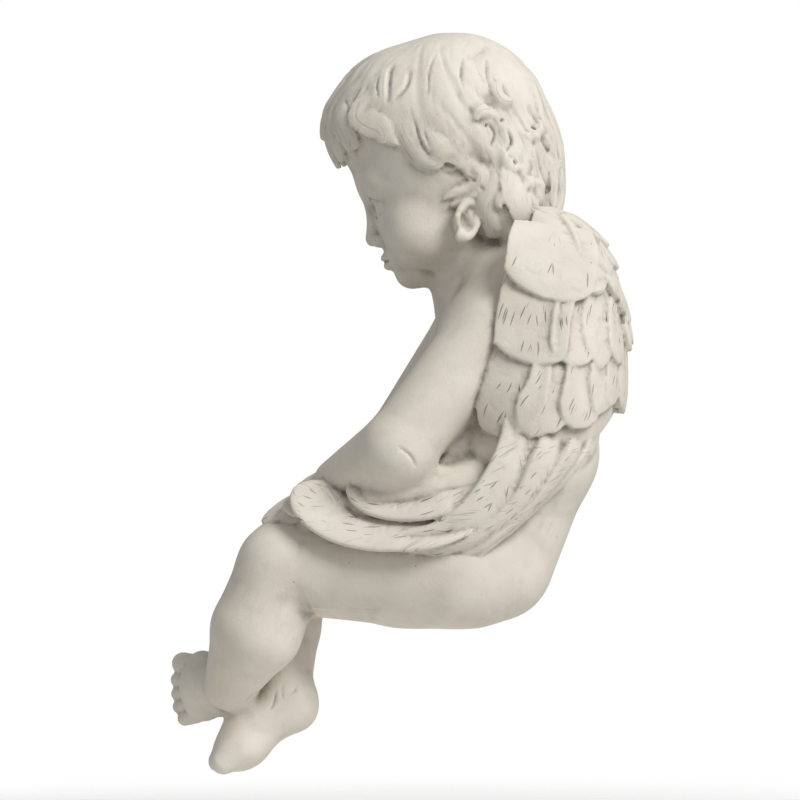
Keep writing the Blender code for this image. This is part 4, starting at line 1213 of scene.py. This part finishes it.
def cast_stone():
    """Matt and chalky: the pale surface scatters all its light, and only the washed cuts and the painted shade of
    the hollows are dark.
    """
    material = bpy.data.materials.new("matt_cast_stone")
    material.use_nodes = True
    tree = material.node_tree
    shader = tree.nodes["Principled BSDF"]
    shader.inputs["Roughness"].default_value = 0.78
    shader.inputs["Metallic"].default_value = 0.0
    shader.inputs["IOR"].default_value = 1.5
    shader.inputs["Specular IOR Level"].default_value = 0.35
    place = tree.nodes.new("ShaderNodeTexCoord").outputs["Object"]
    # The wash in the cuts and the painted shade of the creases and hollows, from the mesh.
    wash = add_node(tree, "ShaderNodeAttribute", attribute_name="wash")

    # The blades' own axes: the way along one and across it in shares, its number, and its share and kind.
    flow = add_node(tree, "ShaderNodeAttribute", attribute_name="flow").outputs["Vector"]
    spot = add_node(tree, "ShaderNodeAttribute", attribute_name="place").outputs["Vector"]
    run, over, number = add_node(tree, "ShaderNodeSeparateXYZ", {0: flow}).outputs
    along, _, kind = add_node(tree, "ShaderNodeSeparateXYZ", {0: spot}).outputs
    aside = add_node(tree, "ShaderNodeMath", {0: over}, operation="ABSOLUTE").outputs[0]
    fanned, slant = (
        add_node(tree, "ShaderNodeMath", {0: first, 1: -back, 2: second}, operation="MULTIPLY_ADD").outputs[0]
        for first, back, second in ((run, SLIT_FAN, aside), (aside, BARB_SLANT, run))
    )
    slit_place = add_node(tree, "ShaderNodeCombineXYZ", {"X": run, "Y": fanned, "Z": number}).outputs[0]
    barb_place = add_node(tree, "ShaderNodeCombineXYZ", {"X": slant, "Y": over, "Z": number}).outputs[0]

    # The patterns along the blades, as cells for each mm along and across: slits 8 mm long and 0.6 mm
    # wide fanned out from the quill, barbs about 3 mm apart, and strands 1 mm apart and 15 mm long.
    slit_cells, barb_cells, strand_cells = (
        add_node(tree, "ShaderNodeVectorMath", {0: source, 1: cells}, operation="MULTIPLY").outputs[0]
        for source, cells in (
            (slit_place, (0.065, 0.55, 37.0)),
            (barb_place, (0.55, 0.09, 40.0)),
            (flow, (0.065, 1.1, 30.0)),
        )
    )
    # Clouds are 25 mm across, blots 7 mm and grain 1 mm. One pore in 14 cells of 6 mm is half a mm wide.
    clouds, blots, grain, barbs, strands = (
        add_node(tree, "ShaderNodeTexNoise", {"Vector": source, "Scale": scale, "Detail": detail}).outputs[0]
        for source, scale, detail in (
            (place, 40.0, 3.0),
            (place, 140.0, 3.0),
            (place, 900.0, 2.0),
            (barb_cells, 1.0, 1.0),
            (strand_cells, 1.0, 2.0),
        )
    )
    slits = add_node(tree, "ShaderNodeTexVoronoi", {"Vector": slit_cells, "Scale": 1.0})
    pores = add_node(tree, "ShaderNodeTexVoronoi", {"Vector": place, "Scale": 170.0})
    slit_pick = add_node(tree, "ShaderNodeSeparateColor", {0: slits.outputs["Color"]})
    pore_pick = add_node(tree, "ShaderNodeSeparateColor", {0: pores.outputs["Color"]})

    # Masks: each goes from the third number to the fourth as its source goes from the first to the second.
    value = {
        name: add_node(
            tree,
            "ShaderNodeMapRange",
            {"Value": source, "From Min": first, "From Max": last, "To Min": bottom, "To Max": top},
        ).outputs[0]
        for name, source, first, last, bottom, top in (
            ("tone", clouds, 0.35, 0.65, 0.0, 1.0),
            ("mottle", blots, 0.5, 0.8, 0.0, 0.5),
            ("wiped", blots, 0.3, 0.6, 0.45, 1.0),
            ("slit_line", slits.outputs["Distance"], 0.27, 0.17, 0.0, 1.0),
            ("on_feather", kind, 0.5, 0.65, 0.0, 1.0),
            ("near_tip", along, 0.1, 0.4, 0.0, 1.0),
            ("barb_line", barbs, 0.36, 0.28, 0.0, 1.0),
            ("on_long", kind, 0.85, 0.95, 0.0, 0.6),
            ("strand_line", strands, 0.42, 0.30, 0.0, 1.0),
            ("past_skin", kind, 0.2, 0.35, 0.0, 1.0),
            ("before_vane", kind, 0.6, 0.5, 0.0, 1.0),
            ("hole", pores.outputs["Distance"], 0.09, 0.05, 0.0, 1.0),
        )
    }
    value.update(wash=wash.outputs["Fac"], grain=grain)
    value.update(slit_pick=slit_pick.outputs[0], pore_pick=pore_pick.outputs[0])

    # The lines and pores, how dark they are painted, the wash and painted shade of the hollows, and their relief
    # against the grain of the mould.
    for name, operation, *terms in (
        ("on_vane", "MULTIPLY", "on_feather", "near_tip"),
        ("picked", "GREATER_THAN", "slit_pick", 0.5),
        ("slit", "MULTIPLY", "slit_line", "picked"),
        ("slit_here", "MULTIPLY", "slit", "on_vane"),
        ("barb_here", "MULTIPLY", "barb_line", "on_long"),
        ("stroke", "MAXIMUM", "slit_here", "barb_here"),
        ("on_hair", "MULTIPLY", "past_skin", "before_vane"),
        ("comb", "MULTIPLY", "strand_line", "on_hair"),
        ("rare", "GREATER_THAN", "pore_pick", 0.93),
        ("pore", "MULTIPLY", "rare", "hole"),
        # The painted shade and wash, wiped off unevenly.
        ("wiped_shade_and_wash", "MULTIPLY", "wash", "wiped"),
        ("dark_strokes", "MULTIPLY", "stroke", 0.6),
        ("dark_lines", "MULTIPLY_ADD", "comb", 0.22, "dark_strokes"),
        ("dark_cuts", "MULTIPLY_ADD", "pore", 0.5, "dark_lines"),
        ("darkness", "MULTIPLY_ADD", "wiped_shade_and_wash", 0.85, "dark_cuts"),
        ("dark", "MINIMUM", "darkness", 1.0),
        ("lines", "ADD", "stroke", "comb"),
        ("cuts", "ADD", "lines", "pore"),
        ("fine_grain", "MULTIPLY", "grain", 0.45),
        ("relief", "MULTIPLY_ADD", "cuts", -0.4, "fine_grain"),
    ):
        inputs = {i: value.get(term, term) for i, term in enumerate(terms)}
        value[name] = add_node(tree, "ShaderNodeMath", inputs, operation=operation).outputs[0]

    colour = linear("D9D1C4")
    # The dark grey-brown paints the wash and the shade of the hollows, and the lines and pores.
    for name, other in (("tone", "E1DBCF"), ("mottle", "CCC9BC"), ("dark", "5F584C")):
        mix = {"Factor": value[name], 6: colour, 7: linear(other)}
        colour = add_node(tree, "ShaderNodeMix", mix, data_type="RGBA").outputs[2]
    tree.links.new(colour, shader.inputs["Base Color"])
    bump = add_node(tree, "ShaderNodeBump", {"Height": value["relief"], "Strength": 0.5, "Distance": 0.0006})
    tree.links.new(bump.outputs[0], shader.inputs["Normal"])
    return material


dressed.materials.clear()
dressed.materials.append(cast_stone())
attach(angel, "root")
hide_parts("angel_statue")


# The studio. A white sheet under the figure that fades out into the white behind, a large soft light
# above and behind the figure's left shoulder, and even light from all round.

FLOOR_DROP = 0.045  # how far below the lowest toe the sheet lies
SHEET_FADES, SHEET_ENDS = 0.16, 0.62  # how far from the figure the sheet begins and ends its fading
FILL_LIGHT = 0.41  # the even light, as a share of full white
WHITE_WALL = 1.0  # the white behind, lit apart from the figure
KEY_PLACE, KEY_SIZE, KEY_POWER = Vector((1.7, 1.5, 1.9)), 1.3, 66
VIEW_DISTANCE, SENSOR_WIDTH = 2.6, 36  # in metres and in mm
PIXEL_SIZE = 0.5405e-3  # of the picture, at the figure's middle
PICTURE_WIDTH = 800 * PIXEL_SIZE
PICTURE_MIDDLE = Vector((0, -0.0243, 0.1227))

floor_mesh = bmesh.new()
bmesh.ops.create_circle(floor_mesh, cap_ends=True, segments=96, radius=2.0)
bmesh.ops.translate(floor_mesh, verts=floor_mesh.verts, vec=(0, 0, float(low[2]) - FLOOR_DROP))
floor_data = bpy.data.meshes.new("studio_floor")
floor_mesh.to_mesh(floor_data)
floor_mesh.free()
floor = add_object("studio_floor", floor_data)
paper = bpy.data.materials.new("white_paper")
paper.use_nodes = True
paper_tree = paper.node_tree
paper_tree.nodes["Principled BSDF"].inputs["Base Color"].default_value = linear("F4F3F0")
paper_tree.nodes["Principled BSDF"].inputs["Roughness"].default_value = 0.9
sheet_place = add_node(paper_tree, "ShaderNodeTexCoord").outputs["Object"]
from_middle = add_node(paper_tree, "ShaderNodeVectorMath", {0: sheet_place}, operation="LENGTH")
fading = add_node(
    paper_tree,
    "ShaderNodeMapRange",
    {"Value": from_middle.outputs["Value"], "From Min": SHEET_FADES, "From Max": SHEET_ENDS},
    interpolation_type="SMOOTHSTEP",
)
clear = add_node(paper_tree, "ShaderNodeBsdfTransparent")
faded = add_node(
    paper_tree,
    "ShaderNodeMixShader",
    {0: fading.outputs[0], 1: paper_tree.nodes["Principled BSDF"].outputs[0], 2: clear.outputs[0]},
)
paper_tree.links.new(faded.outputs[0], paper_tree.nodes["Material Output"].inputs["Surface"])
floor_data.materials.append(paper)

world = bpy.data.worlds.new("soft_studio")
bpy.context.scene.world = world
world.use_nodes = True
world.node_tree.nodes["Background"].inputs["Color"].default_value = (1.0, 1.0, 1.0, 1.0)
seen = add_node(world.node_tree, "ShaderNodeLightPath")
level = add_node(
    world.node_tree,
    "ShaderNodeMapRange",
    {"Value": seen.outputs["Is Camera Ray"], "To Min": FILL_LIGHT, "To Max": WHITE_WALL},
)
world.node_tree.links.new(level.outputs[0], world.node_tree.nodes["Background"].inputs["Strength"])
bpy.context.scene.view_settings.view_transform = "Standard"


def looking(made, at):
    """Puts a light or camera there and turns it to the figure's middle."""
    made.location = at
    made.rotation_mode = "QUATERNION"
    made.rotation_quaternion = (PICTURE_MIDDLE - at).to_track_quat("-Z", "Y")
    return made


key_data = bpy.data.lights.new("key", "AREA")
key_data.shape = "DISK"
key_data.size = KEY_SIZE
key_data.energy = KEY_POWER
looking(add_object("key", key_data), KEY_PLACE)

camera_data = bpy.data.cameras.new("camera")
camera_data.sensor_width = SENSOR_WIDTH
camera_data.lens = SENSOR_WIDTH * VIEW_DISTANCE / PICTURE_WIDTH
camera = looking(add_object("camera", camera_data), PICTURE_MIDDLE + Vector((VIEW_DISTANCE, 0, 0)))
bpy.context.scene.camera = camera
